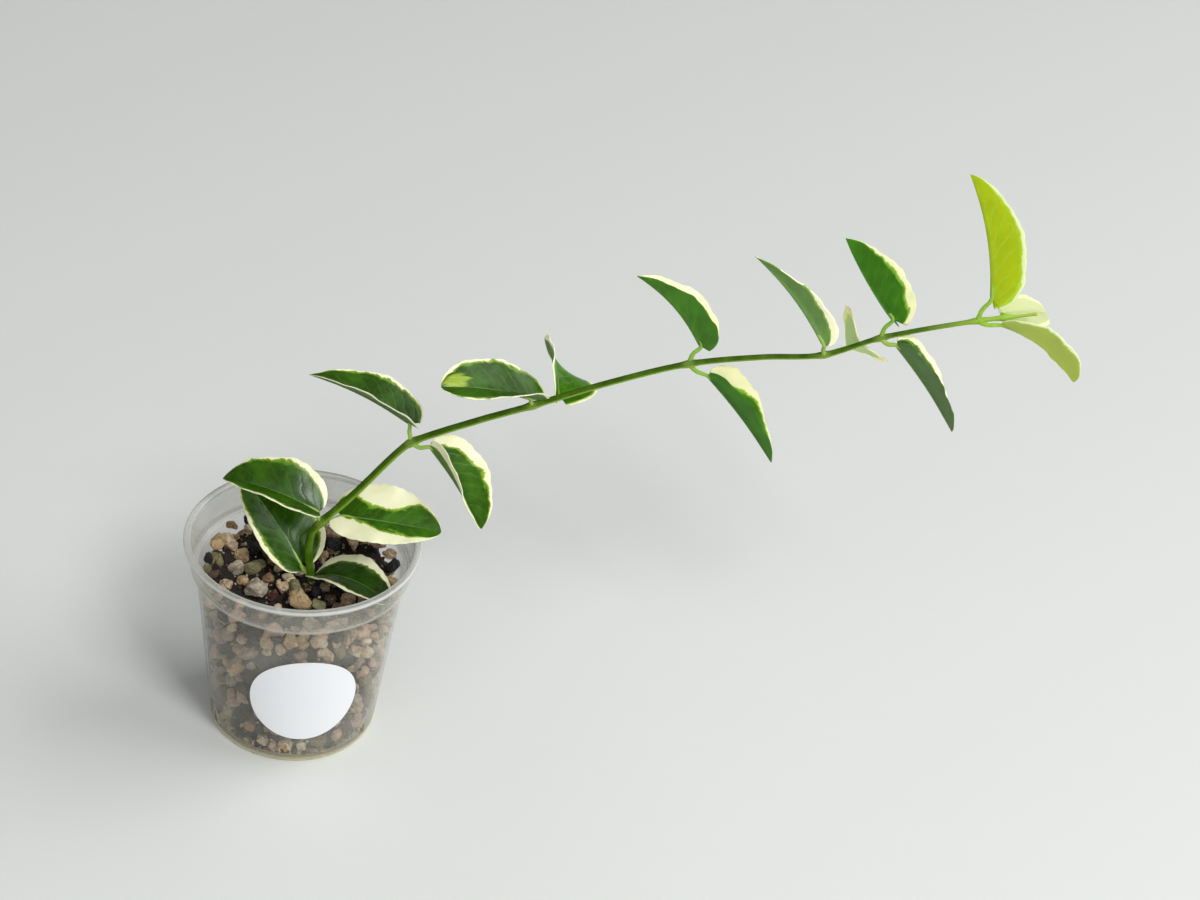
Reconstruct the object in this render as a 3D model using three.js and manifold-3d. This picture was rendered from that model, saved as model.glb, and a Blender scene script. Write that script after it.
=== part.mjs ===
// Potted variegated hoya cumingiana: a young vine in a clear plastic pot of pumice and bark.
// Units are millimetres, +Z is up, and the origin is the centre of the pot's underside.
import * as THREE from 'three';
import { mergeVertices } from 'three/addons/utils/BufferGeometryUtils.js';
import Module from 'manifold-3d';

// Pot
const POT_HEIGHT = 71;
const POT_BASE_RADIUS = 27;
const POT_WALL = 0.9;
const POT_FLOOR = 1.2;
const COLLAR_BOTTOM_Z = 60;
const BODY_TOP_RADIUS = 33.6;
const COLLAR_BOTTOM_RADIUS = 34.9;
const COLLAR_TOP_RADIUS = 36.6;
const LIP_RADIUS = 37.8;
const LIP_INNER_RADIUS = 35.6;
const LIP_DEPTH = 1.8;
const LIP_BEVEL = 0.6;
const LIP_INNER_BEVEL = 0.4;
const BASE_BEVEL = 0.8;
const COLLAR_STEP = 0.7;
const POT_SIDES = 42;

// Drain holes, pointed arches low in the wall
const DRAIN_COUNT = 6;
const DRAIN_FIRST_DEG = -90 + 180 / POT_SIDES;
const DRAIN_BOTTOM_Z = 3.3;
const DRAIN_WIDTH = 3;
const DRAIN_HEIGHT = 5.2;
const DRAIN_SHOULDER = 2.6;
const DRAIN_ARCH_FULLNESS = 0.8;
const DRAIN_CUT_DEPTH = 8;

// Round paper label on the wall
const LABEL_RADIUS = 17.6;
const LABEL_THICKNESS = 0.6;
const LABEL_CENTRE_Z = 29;
const LABEL_CENTRE_DEG = -76;
const LABEL_SPOKES = 28;
const LABEL_RINGS = 4;

// Gap between neighbours that rest on each other
const GAP = 0.3;

// Potting mix
const ROOT_CLEARANCE = 1.5 * GAP;
const MIX_TOP_Z = 53.5;
const MIX_SIDES = 42;
const GRAIN_SMALL = 2.5;
const GRAIN_LARGE = 4.2;
const GRAIN_RINGS = 5;
const GRAIN_SINK = 0.8;
const GRAIN_SIZE_BIAS = 1.5;
const GRAIN_LEAST_STRETCH = 0.78;
const GRAIN_MORE_STRETCH = 0.32;
const GRAIN_CLEAR_OF_STEM = 5;
const GRAIN_SEED = 11;

// Vine stem: centre line from the cut end in the mix to the growing tip
const STEM_SIDES = 8;
const STEM_STEPS = 60;
const STEM_SEARCH_STEPS = 400;
const STEM_PATH = [
  [3.6, 2, 36],
  [3.4, 2, 45],
  [3.05, 2, 55],
  [1.8, 2, 64.5],
  [2.7, 2, 73],
  [5.4, 2, 77.2],
  [14.4, 1.6, 89.2],
  [28.4, 1.1, 109.8],
  [31.8, 1.0, 113.5],
  [50.9, 0.4, 125.1],
  [67.8, 0, 134.1],
  [90.2, 0, 146.3],
  [113.1, 0, 156.9],
  [133.9, 0.5, 162.4],
  [152.7, 1.0, 166.0],
  [168.5, 1.6, 174.3],
  [195.7, 3.0, 183.9],
  [203.6, 3.0, 186.3],
  [212.6, 3.0, 189.0],
];
const STEM_RADIUS_SOIL = 1.5;
const STEM_RADIUS_LAST_NODE = 0.75;
const STEM_RADIUS_TIP = 0.45;
const NODE_SWELL = 0.35;
const NODE_SWELL_LENGTH = 2.0;

// Places on the stem where leaves grow, as indices into STEM_PATH
const NODE_POINTS = [2, 5, 8, 10, 12, 14, 15, 16, 17];

// Roots below the stem's cut end
const ROOT_CROWN_RADIUS = 2.4;
const ROOT_CROWN_STRETCH = 1.3;
const ROOT_RADIUS = 0.8;
const ROOT_COUNT = 5;
const ROOT_REACH = 17;
const ROOT_DROP = 24;
const ROOT_VARIATION = 0.2;
const ROOT_KNEE_REACH = 0.8;
const ROOT_KNEE_DROP = 0.25;
const ROOT_TAPER = 0.35;
const ROOT_STEPS = 6;
const ROOT_SIDES = 6;
const CROWN_SIDES = 10;
const CROWN_ROWS = 7;

// Leaves
const BLADE_THICKNESS = 0.7;
const PETIOLE_RADIUS_STEM = 0.85;
const PETIOLE_RADIUS_BLADE = 0.55;
const PETIOLE_INTO_BLADE = 0.12;
const PETIOLE_SUNK = 0.5;
const PETIOLE_BEND_AT = 0.35;
const PETIOLE_BOW = 1;
const PETIOLE_SIDES = 6;
const PETIOLE_STEPS = 5;
const BLADE_ROWS = 10;
const BLADE_COLUMNS = 6;
const BLADE_TIP_HALF_WIDTH = 0.4;
const BLADE_ROW_CROWDING = 1.35;
const BASE_ROUNDNESS = 0.42;
const BASE_START = 0.02;
const WAVE_COUNT = 2.5;
const WAVE_OFFSET = 0.25;
const GROWN = { upper: 0x3f7a1e, roughness: 0.4 };
const YOUNG = { upper: 0xa9cf3a, roughness: 0.45 };

// Each leaf: stem node, blade base, chord from base to tip, way its upper face looks at the
// base, arch over its length, then for its left and right halves (seen from above, tip ahead)
// the widths, upward folds and extra folds at the base, then lobe length behind the base,
// taper (small is a blunt tip), twist along the length and margin wave. Lengths are in mm and
// angles in degrees.
const LEAVES = [
  { name: 'leaf_a', node: 1, base: [4.2, 1, 81.5], chord: [-31.7, 6, 3.7], up: [0.1, -0.35, 0.9],
    arch: 48, widths: [9.5, 12], folds: [40, 20], cups: [0, 0], lobe: 1, taper: 0.75, twist: 0,
    wave: 0.5, age: GROWN },
  { name: 'leaf_b', node: 0, base: [-1, 3.2, 58.7], chord: [-22.6, 16.8, 17.8], up: [0.3, -0.5, 0.8],
    arch: 40, widths: [9.5, 13.8], folds: [10, 10], cups: [0, 0], lobe: 2.5, taper: 0.75, twist: 0,
    wave: 0.4, age: GROWN },
  { name: 'leaf_c', node: 0, base: [5.1, -1.4, 57.5], chord: [24.6, -10.3, 1.1], up: [0.1, -0.1, 1],
    arch: 75, widths: [10.6, 8.6], folds: [8, 14], cups: [0, 22], lobe: 1.5, taper: 0.6, twist: 0,
    wave: 0.4, age: GROWN },
  { name: 'leaf_d', node: 1, base: [11.4, 3.6, 79.3], chord: [32.4, -6, 3.5], up: [-0.1, -0.6, 0.8],
    arch: 25, widths: [12, 10], folds: [5, 28], cups: [0, 0], lobe: 3.2, taper: 0.65, twist: 0,
    wave: 0.5, age: GROWN },
  { name: 'leaf_e', node: 2, base: [30.5, 2, 120], chord: [-32.5, 4, 10], up: [0.28, 0.2, 0.93],
    arch: 25, widths: [9, 9.6], folds: [28, 40], cups: [0, 0], lobe: 3, taper: 1, twist: 0,
    wave: 0.4, age: GROWN },
  { name: 'leaf_f', node: 2, base: [38, -1, 114], chord: [18.5, -7, -23.5], up: [0.78, -0.17, 0.6],
    arch: 18, widths: [11, 10], folds: [50, 22], cups: [0, 45], lobe: 1.5, taper: 0.68, twist: 0,
    wave: 0.4, age: GROWN },
  { name: 'leaf_g', node: 3, base: [67.3, -1.5, 137.5], chord: [-27, -12, 8], up: [0.2, -0.3, 0.95],
    arch: 30, widths: [7.6, 9.9], folds: [17, 17], cups: [70, 0], lobe: 5.5, taper: 0.5, twist: 0,
    wave: 0.4, age: GROWN },
  { name: 'leaf_h', node: 3, base: [75, 7.6, 134.2], chord: [-6.8, 17.9, 8.1], up: [0.46, -0.22, 0.86],
    arch: 45, widths: [8.9, 14.2], folds: [0, 4], cups: [29, 60], lobe: 3.8, taper: 0.75, twist: -65,
    wave: 0.5, age: GROWN },
  { name: 'leaf_i', node: 4, base: [116, 2, 162.5], chord: [-22, 0.5, 21], up: [0.65, 0.34, 0.68],
    arch: 36, widths: [7.8, 11], folds: [54, 26], cups: [5, 40], lobe: 2.2, taper: 0.95, twist: 0,
    wave: 0.4, age: GROWN },
  { name: 'leaf_j', node: 4, base: [119.5, 0, 153.5], chord: [22.9, -3.6, -25.8], up: [0.73, 0.3, 0.61],
    arch: 15, widths: [8.9, 9], folds: [43, 27], cups: [43, 6], lobe: 1.1, taper: 0.75, twist: 0,
    wave: 0.4, age: GROWN },
  { name: 'leaf_k', node: 5, base: [152, -1.5, 171], chord: [-24.3, 5.7, 23.7], up: [0.62, 0.62, 0.48],
    arch: 26, widths: [8, 9], folds: [16, 14], cups: [22, 23], lobe: 1, taper: 0.95, twist: 0,
    wave: 0.3, age: GROWN },
  { name: 'leaf_l', node: 5, base: [163, 6, 168.5], chord: [-1.5, 22.5, -16], up: [0.71, 0.4, 0.58],
    arch: 20, widths: [12, 10.5], folds: [20, 20], cups: [0, 0], lobe: 2, taper: 0.75, twist: 0,
    wave: 0.6, age: GROWN },
  { name: 'leaf_m', node: 6, base: [171, 2, 181], chord: [-18, 3, 23.5], up: [0.63, 0.67, 0.4],
    arch: -10, widths: [10.2, 9.8], folds: [56, 27], cups: [0, 0], lobe: 4, taper: 0.75, twist: 0,
    wave: 0.3, age: GROWN },
  { name: 'leaf_n', node: 6, base: [173.5, 0, 173.5], chord: [21.1, -3, -26], up: [0.76, 0.26, 0.59],
    arch: 15, widths: [9.1, 9.2], folds: [35, 24], cups: [9, 5], lobe: 1, taper: 0.75, twist: 0,
    wave: 0.3, age: GROWN },
  { name: 'leaf_o', node: 7, base: [198.5, 3, 192], chord: [-12, 15, 32], up: [0.87, 0.48, 0.1],
    arch: 32, widths: [10.4, 10], folds: [49, 56], cups: [0, 0], lobe: 3, taper: 0.75, twist: 0,
    wave: 0.3, age: YOUNG },
  { name: 'leaf_p', node: 7, base: [203, 0, 185.5], chord: [23.2, -6.8, -12.1], up: [0.51, 0.58, 0.64],
    arch: 45, widths: [8.5, 10.5], folds: [8, 19], cups: [0, -10], lobe: 1, taper: 0.45, twist: 0,
    wave: 0.3, age: YOUNG },
  { name: 'leaf_q', node: 8, base: [203, 6.6, 185.2], chord: [14.6, 11, -4.6], up: [0.1, -0.45, 0.9],
    arch: 35, widths: [5.2, 7.3], folds: [15, 15], cups: [0, 0], lobe: 1, taper: 0.6, twist: 0,
    wave: 0.3, age: YOUNG },
];

const wasm = await Module();
wasm.setup();

const RAD = Math.PI / 180;

// Small seeded generator, numbers from 0 to 1
function seeded(seed) {
  let state = seed >>> 0;
  return () => {
    state = (state + 0x6d2b79f5) >>> 0;
    let value = Math.imul(state ^ (state >>> 15), 1 | state);
    value = (value + Math.imul(value ^ (value >>> 7), 61 | value)) ^ value;
    return ((value ^ (value >>> 14)) >>> 0) / 4294967296;
  };
}

function vec(list) {
  return new THREE.Vector3(...list);
}

// Closed geometry to a solid that can be joined and cut
function solidOf(geometry) {
  const bare = geometry.clone();
  bare.deleteAttribute('normal');
  bare.deleteAttribute('uv');
  const merged = mergeVertices(bare, 1e-4);
  const vertProperties = new Float32Array(merged.attributes.position.array);
  const triVerts = new Uint32Array(merged.index.array);
  return new wasm.Manifold(new wasm.Mesh({ numProp: 3, vertProperties, triVerts }));
}

function geometryOf(solid) {
  const mesh = solid.getMesh();
  const geometry = new THREE.BufferGeometry();
  geometry.setAttribute('position', new THREE.Float32BufferAttribute(mesh.vertProperties, 3));
  geometry.setIndex(new THREE.Uint32BufferAttribute(mesh.triVerts, 1));
  geometry.computeVertexNormals();
  return geometry;
}

// The main body, without loose scraps and with sealed hollows filled
function largestPiece(solid) {
  const pieces = solid.decompose();
  return pieces.reduce((best, piece) => (piece.volume() > best.volume() ? piece : best));
}

function indexedGeometry(points, triangles) {
  const geometry = new THREE.BufferGeometry();
  const flat = points.flatMap((p) => [p.x, p.y, p.z]);
  geometry.setAttribute('position', new THREE.Float32BufferAttribute(flat, 3));
  geometry.setIndex(triangles);
  geometry.computeVertexNormals();
  return geometry;
}

// Lathe about +Z: the profile is (radius, height) pairs from axis to axis, upwards on the outside
function turned(profile, sides) {
  const points = profile.map(([r, z]) => new THREE.Vector2(r, z));
  const geometry = new THREE.LatheGeometry(points, sides);
  geometry.rotateX(Math.PI / 2);
  return geometry;
}

// Round rod along a curve, whose radius changes along it, with flat ends
function taperedRod(curve, radiusAt, steps, sides) {
  const frames = curve.computeFrenetFrames(steps, false);
  const points = [];
  const triangles = [];
  for (let i = 0; i <= steps; i++) {
    const centre = curve.getPointAt(i / steps);
    for (let k = 0; k < sides; k++) {
      const angle = (2 * Math.PI * k) / sides;
      const radius = radiusAt(i / steps, centre);
      const point = centre.clone();
      point.addScaledVector(frames.normals[i], radius * Math.cos(angle));
      point.addScaledVector(frames.binormals[i], radius * Math.sin(angle));
      points.push(point);
    }
  }
  for (let i = 0; i < steps; i++) {
    for (let k = 0; k < sides; k++) {
      const a = i * sides + k;
      const b = i * sides + ((k + 1) % sides);
      triangles.push(a, b, a + sides, b, b + sides, a + sides);
    }
  }
  const last = steps * sides;
  for (let k = 1; k < sides - 1; k++) {
    triangles.push(0, k + 1, k);
    triangles.push(last, last + k, last + k + 1);
  }
  return indexedGeometry(points, triangles);
}

// Radius of the pot body's outside at a height below the collar
function bodyRadius(z) {
  return POT_BASE_RADIUS + ((BODY_TOP_RADIUS - POT_BASE_RADIUS) * z) / COLLAR_BOTTOM_Z;
}

// Clear pot: tapered body, wider collar, rolled lip and drain holes
function potGeometry() {
  const lipZ = POT_HEIGHT - LIP_DEPTH;
  const shell = turned(
    [
      [0, 0],
      [POT_BASE_RADIUS - BASE_BEVEL, 0],
      [POT_BASE_RADIUS, BASE_BEVEL],
      [BODY_TOP_RADIUS, COLLAR_BOTTOM_Z],
      [COLLAR_BOTTOM_RADIUS, COLLAR_BOTTOM_Z + COLLAR_STEP],
      [COLLAR_TOP_RADIUS, lipZ],
      [LIP_RADIUS, lipZ + LIP_INNER_BEVEL],
      [LIP_RADIUS, POT_HEIGHT - LIP_BEVEL],
      [LIP_RADIUS - LIP_BEVEL, POT_HEIGHT],
      [LIP_INNER_RADIUS + LIP_INNER_BEVEL, POT_HEIGHT],
      [LIP_INNER_RADIUS, POT_HEIGHT - LIP_INNER_BEVEL],
      [COLLAR_BOTTOM_RADIUS - POT_WALL, COLLAR_BOTTOM_Z + COLLAR_STEP],
      [BODY_TOP_RADIUS - POT_WALL, COLLAR_BOTTOM_Z],
      [bodyRadius(POT_FLOOR) - POT_WALL, POT_FLOOR],
      [0, POT_FLOOR],
    ],
    POT_SIDES,
  );
  let solid = solidOf(shell);
  for (let i = 0; i < DRAIN_COUNT; i++) {
    const arch = new THREE.Shape();
    arch.moveTo(-DRAIN_WIDTH / 2, 0);
    arch.lineTo(DRAIN_WIDTH / 2, 0);
    arch.lineTo(DRAIN_WIDTH / 2, DRAIN_SHOULDER);
    const bulgeZ = DRAIN_HEIGHT * DRAIN_ARCH_FULLNESS;
    arch.quadraticCurveTo(DRAIN_WIDTH / 2, bulgeZ, 0, DRAIN_HEIGHT);
    arch.quadraticCurveTo(-DRAIN_WIDTH / 2, bulgeZ, -DRAIN_WIDTH / 2, DRAIN_SHOULDER);
    const settings = { depth: DRAIN_CUT_DEPTH, bevelEnabled: false, curveSegments: 4 };
    const cutter = new THREE.ExtrudeGeometry(arch, settings);
    cutter.rotateX(Math.PI / 2);
    cutter.translate(0, DRAIN_CUT_DEPTH / 2 - POT_BASE_RADIUS, DRAIN_BOTTOM_Z);
    cutter.rotateZ((DRAIN_FIRST_DEG + 90 + (360 / DRAIN_COUNT) * i) * RAD);
    solid = solid.subtract(solidOf(cutter));
  }
  return geometryOf(solid);
}

// Round label bent round the tapered wall
function labelGeometry() {
  const points = [];
  const triangles = [];
  const layers = [GAP, GAP + LABEL_THICKNESS];
  const place = (across, up, clearance) => {
    const z = LABEL_CENTRE_Z + up;
    const radius = bodyRadius(z) + clearance;
    const angle = LABEL_CENTRE_DEG * RAD + across / bodyRadius(z);
    return new THREE.Vector3(radius * Math.cos(angle), radius * Math.sin(angle), z);
  };
  const perLayer = 1 + LABEL_RINGS * LABEL_SPOKES;
  for (const clearance of layers) {
    points.push(place(0, 0, clearance));
    for (let ring = 1; ring <= LABEL_RINGS; ring++) {
      for (let k = 0; k < LABEL_SPOKES; k++) {
        const angle = (2 * Math.PI * k) / LABEL_SPOKES;
        const reach = (LABEL_RADIUS * ring) / LABEL_RINGS;
        points.push(place(reach * Math.cos(angle), reach * Math.sin(angle), clearance));
      }
    }
  }
  const at = (layer, ring, k) => layer * perLayer + 1 + (ring - 1) * LABEL_SPOKES + (k % LABEL_SPOKES);
  for (let k = 0; k < LABEL_SPOKES; k++) {
    for (const layer of [0, 1]) {
      const centre = layer * perLayer;
      const fan = [centre, at(layer, 1, k), at(layer, 1, k + 1)];
      triangles.push(...(layer ? fan : fan.reverse()));
      for (let ring = 1; ring < LABEL_RINGS; ring++) {
        const quad = [
          at(layer, ring, k), at(layer, ring + 1, k), at(layer, ring + 1, k + 1),
          at(layer, ring, k), at(layer, ring + 1, k + 1), at(layer, ring, k + 1),
        ];
        triangles.push(...(layer ? quad : quad.reverse()));
      }
    }
    const low = at(0, LABEL_RINGS, k);
    const lowNext = at(0, LABEL_RINGS, k + 1);
    const high = at(1, LABEL_RINGS, k);
    const highNext = at(1, LABEL_RINGS, k + 1);
    triangles.push(low, lowNext, high, lowNext, highNext, high);
  }
  return indexedGeometry(points, triangles);
}

const stemCurve = new THREE.CatmullRomCurve3(STEM_PATH.map(vec), false, 'centripetal');

// Stem radius, with a swelling at each node and a slim growing tip
function stemRadius(point) {
  const lastNode = vec(STEM_PATH[NODE_POINTS[NODE_POINTS.length - 1]]);
  const first = vec(STEM_PATH[0]);
  const share = Math.min(1, point.distanceTo(first) / lastNode.distanceTo(first));
  let radius = THREE.MathUtils.lerp(STEM_RADIUS_SOIL, STEM_RADIUS_LAST_NODE, share);
  if (point.x > lastNode.x) {
    const beyond = point.distanceTo(lastNode) / vec(STEM_PATH[STEM_PATH.length - 1]).distanceTo(lastNode);
    radius = THREE.MathUtils.lerp(STEM_RADIUS_LAST_NODE, STEM_RADIUS_TIP, Math.min(1, beyond * 2));
  }
  for (const index of NODE_POINTS.slice(1)) {
    const away = point.distanceTo(vec(STEM_PATH[index])) / NODE_SWELL_LENGTH;
    radius += NODE_SWELL * Math.exp(-away * away);
  }
  return radius;
}

function stemGeometry(extra) {
  return taperedRod(stemCurve, (along, point) => stemRadius(point) + extra, STEM_STEPS, STEM_SIDES);
}

const stemHollow = solidOf(stemGeometry(GAP));

// Root crown just below the stem's lower end, with roots that spread and drop. With extra it is
// their hollow in the mix, raised a little so that it opens into the stem's hollow
function rootsSolid(extra) {
  const crown = new THREE.SphereGeometry(ROOT_CROWN_RADIUS + extra, CROWN_SIDES, CROWN_ROWS);
  crown.scale(1, 1, ROOT_CROWN_STRETCH);
  const centre = vec(STEM_PATH[0]);
  centre.z -= GAP + ROOT_CROWN_RADIUS * ROOT_CROWN_STRETCH;
  crown.translate(centre.x, centre.y, centre.z + extra / 2);
  let solid = solidOf(crown);
  for (let i = 0; i < ROOT_COUNT; i++) {
    const angle = (2 * Math.PI * (i + ROOT_VARIATION * Math.sin(3 * i))) / ROOT_COUNT;
    const reach = ROOT_REACH * (1 - ROOT_VARIATION * (1 - Math.cos(5 * i)) / 2);
    const drop = ROOT_DROP * (1 - ROOT_VARIATION * (1 - Math.sin(4 * i)) / 2);
    const out = new THREE.Vector3(Math.cos(angle), Math.sin(angle), 0);
    const down = new THREE.Vector3(0, 0, -1);
    const knee = centre.clone().addScaledVector(out, reach * ROOT_KNEE_REACH);
    knee.addScaledVector(down, drop * ROOT_KNEE_DROP);
    const end = centre.clone().addScaledVector(out, reach + extra);
    end.addScaledVector(down, drop + 2 * extra);
    const curve = new THREE.QuadraticBezierCurve3(centre.clone(), knee, end);
    const radiusAt = (along) => ROOT_RADIUS * (1 - ROOT_TAPER * along) + extra;
    solid = solid.add(solidOf(taperedRod(curve, radiusAt, ROOT_STEPS, ROOT_SIDES)));
  }
  return solid;
}

// Potting mix: a plug that fills the pot, grains heaped on it, and hollows for stem and roots
function mixGeometry() {
  const clearance = POT_WALL + GAP;
  const innerRadius = (z) => bodyRadius(z) - clearance;
  const plug = turned(
    [
      [0, POT_FLOOR + GAP],
      [innerRadius(POT_FLOOR), POT_FLOOR + GAP],
      [innerRadius(MIX_TOP_Z), MIX_TOP_Z],
      [0, MIX_TOP_Z],
    ],
    MIX_SIDES,
  );
  let solid = solidOf(plug);
  const random = seeded(GRAIN_SEED);
  const stemFoot = vec(STEM_PATH[2]);
  const ringStep = (innerRadius(MIX_TOP_Z) - GRAIN_SMALL) / GRAIN_RINGS;
  const grains = [];
  for (let ring = 0; ring <= GRAIN_RINGS; ring++) {
    const reach = ring * ringStep;
    const count = Math.max(1, Math.round((2 * Math.PI * reach) / ringStep));
    for (let k = 0; k < count; k++) {
      const angle = (2 * Math.PI * (k + 0.5 * random())) / count + ring;
      const size = THREE.MathUtils.lerp(GRAIN_SMALL, GRAIN_LARGE, random() ** GRAIN_SIZE_BIAS);
      const x = reach * Math.cos(angle);
      const y = reach * Math.sin(angle);
      const [turnX, turnY, turnZ] = [0, 1, 2].map(() => 2 * Math.PI * random());
      const turn = new THREE.Euler(turnX, turnY, turnZ);
      const stretch = [0, 1, 2].map(() => GRAIN_LEAST_STRETCH + GRAIN_MORE_STRETCH * random());
      if (Math.hypot(x - stemFoot.x, y - stemFoot.y) < GRAIN_CLEAR_OF_STEM) continue;
      grains.push({ x, y, size, turn, stretch });
    }
  }
  for (const { x, y, size, turn, stretch } of grains) {
    const grain = new THREE.IcosahedronGeometry(size, 0);
    grain.scale(...stretch);
    grain.applyMatrix4(new THREE.Matrix4().makeRotationFromEuler(turn));
    grain.translate(x, y, MIX_TOP_Z + size / 2 - GRAIN_SINK);
    solid = solid.add(solidOf(grain));
  }
  const keepIn = turned(
    [
      [0, -1],
      [innerRadius(-1), -1],
      [innerRadius(COLLAR_BOTTOM_Z), COLLAR_BOTTOM_Z],
      [0, COLLAR_BOTTOM_Z],
    ],
    MIX_SIDES,
  );
  solid = solid.intersect(solidOf(keepIn));
  solid = solid.subtract(stemHollow);
  solid = solid.subtract(rootsSolid(ROOT_CLEARANCE));
  return geometryOf(largestPiece(solid));
}

// Share of the full half width at a place from base (0) to tip (1)
function bladeOutline(t, taper) {
  const s = BASE_START + (1 - BASE_START) * t;
  const widest = BASE_ROUNDNESS / (BASE_ROUNDNESS + taper);
  const peak = widest ** BASE_ROUNDNESS * (1 - widest) ** taper;
  return (s ** BASE_ROUNDNESS * Math.max(0, 1 - s) ** taper) / peak;
}

// Midrib point and the blade's directions at a place from base (0) to tip (1)
function bladeFrame(leaf, t) {
  const base = vec(leaf.base);
  const chord = vec(leaf.chord);
  const length = chord.length();
  const ahead = chord.clone().normalize();
  const up = vec(leaf.up);
  up.addScaledVector(ahead, -up.dot(ahead)).normalize();
  const side = ahead.clone().cross(up);
  const arch = leaf.arch * RAD;
  const radius = length / (2 * Math.sin(arch / 2));
  const angle = arch * t - arch / 2;
  const point = base.clone();
  point.addScaledVector(ahead, radius * (Math.sin(arch / 2) + Math.sin(angle)));
  point.addScaledVector(up, radius * (Math.cos(angle) - Math.cos(arch / 2)));
  const tangent = ahead.clone().multiplyScalar(Math.cos(angle)).addScaledVector(up, -Math.sin(angle));
  const normal = up.clone().multiplyScalar(Math.cos(angle)).addScaledVector(ahead, Math.sin(angle));
  const twist = leaf.twist * RAD * Math.sqrt(t);
  const sideNow = side.clone().multiplyScalar(Math.cos(twist)).addScaledVector(normal, Math.sin(twist));
  const normalNow = normal.clone().multiplyScalar(Math.cos(twist)).addScaledVector(side, -Math.sin(twist));
  return { point, tangent, side: sideNow, normal: normalNow };
}

// Middle surface of the blade: t runs from base to tip, u from left margin (-1) to right (1)
function bladePoint(leaf, t, u) {
  const { point, tangent, side, normal } = bladeFrame(leaf, t);
  const half = u < 0 ? 0 : 1;
  const outline = bladeOutline(t, leaf.taper);
  const width = Math.max(BLADE_TIP_HALF_WIDTH, leaf.widths[half] * outline);
  const fold = (leaf.folds[half] + leaf.cups[half] * (1 - t) ** 2) * RAD;
  const out = Math.abs(u);
  const turns = WAVE_COUNT * t + WAVE_OFFSET * half;
  const wave = leaf.wave * Math.sin(2 * Math.PI * turns) * out ** 3 * outline;
  point.addScaledVector(side, u * width * Math.cos(fold));
  point.addScaledVector(normal, out * width * Math.sin(fold) + wave);
  point.addScaledVector(tangent, -leaf.lobe * (1 - t) ** 3 * out);
  return point;
}

function bladeGeometry(leaf) {
  const rows = BLADE_ROWS;
  const columns = BLADE_COLUMNS;
  const middle = [];
  for (let i = 0; i <= rows; i++) {
    for (let k = 0; k <= columns; k++) {
      middle.push(bladePoint(leaf, (i / rows) ** BLADE_ROW_CROWDING, (2 * k) / columns - 1));
    }
  }
  const sheet = [];
  for (let i = 0; i < rows; i++) {
    for (let k = 0; k < columns; k++) {
      const a = i * (columns + 1) + k;
      const b = a + 1;
      const c = a + columns + 1;
      const d = c + 1;
      sheet.push(a, b, c, b, d, c);
    }
  }
  const shape = indexedGeometry(middle, sheet);
  const normals = shape.attributes.normal;
  const points = [];
  for (const face of [1, -1]) {
    middle.forEach((point, i) => {
      const normal = new THREE.Vector3().fromBufferAttribute(normals, i);
      points.push(point.clone().addScaledVector(normal, (face * BLADE_THICKNESS) / 2));
    });
  }
  const under = middle.length;
  const triangles = [...sheet];
  for (let i = 0; i < sheet.length; i += 3) {
    triangles.push(under + sheet[i], under + sheet[i + 2], under + sheet[i + 1]);
  }
  const edge = [];
  for (let k = 0; k < columns; k++) edge.push(k);
  for (let i = 0; i < rows; i++) edge.push(i * (columns + 1) + columns);
  for (let k = columns; k > 0; k--) edge.push(rows * (columns + 1) + k);
  for (let i = rows; i > 0; i--) edge.push(i * (columns + 1));
  edge.forEach((from, i) => {
    const to = edge[(i + 1) % edge.length];
    triangles.push(from, under + from, to, to, under + from, under + to);
  });
  return indexedGeometry(points, triangles);
}

// Share of the stem's length at the place nearest to a point
function closestShare(point) {
  const away = (share) => stemCurve.getPointAt(share).distanceTo(point);
  const shares = Array.from({ length: STEM_SEARCH_STEPS + 1 }, (_, i) => i / STEM_SEARCH_STEPS);
  return shares.reduce((best, share) => (away(share) < away(best) ? share : best));
}

// Leaf stalk from inside the stem, bowed a little outwards, into the blade's midrib
function petioleGeometry(leaf) {
  const nodePoint = vec(STEM_PATH[NODE_POINTS[leaf.node]]);
  const { point: foot } = bladeFrame(leaf, 0);
  const { point: end } = bladeFrame(leaf, PETIOLE_INTO_BLADE);
  const stemWay = stemCurve.getTangentAt(closestShare(nodePoint));
  const out = foot.clone().sub(nodePoint);
  out.addScaledVector(stemWay, -out.dot(stemWay)).normalize();
  const start = nodePoint.clone().addScaledVector(out, PETIOLE_SUNK * stemRadius(nodePoint));
  const bend = start.clone().lerp(foot, PETIOLE_BEND_AT).addScaledVector(out, PETIOLE_BOW);
  const curve = new THREE.CatmullRomCurve3([start, bend, foot, end], false, 'centripetal');
  const radiusAt = (along) => THREE.MathUtils.lerp(PETIOLE_RADIUS_STEM, PETIOLE_RADIUS_BLADE, along);
  return taperedRod(curve, radiusAt, PETIOLE_STEPS, PETIOLE_SIDES);
}

// Blade and stalk in one, with the stalk's foot cut to sit a gap off the stem's surface
function leafGeometry(leaf) {
  const whole = solidOf(bladeGeometry(leaf)).add(solidOf(petioleGeometry(leaf)));
  return geometryOf(largestPiece(whole.subtract(stemHollow)));
}

const plant = new THREE.Group();

function addPart(name, geometry, color, roughness, extras = {}) {
  const material = new THREE.MeshStandardMaterial({ color, roughness, metalness: 0, ...extras });
  const mesh = new THREE.Mesh(geometry, material);
  mesh.name = name;
  plant.add(mesh);
}

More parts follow.
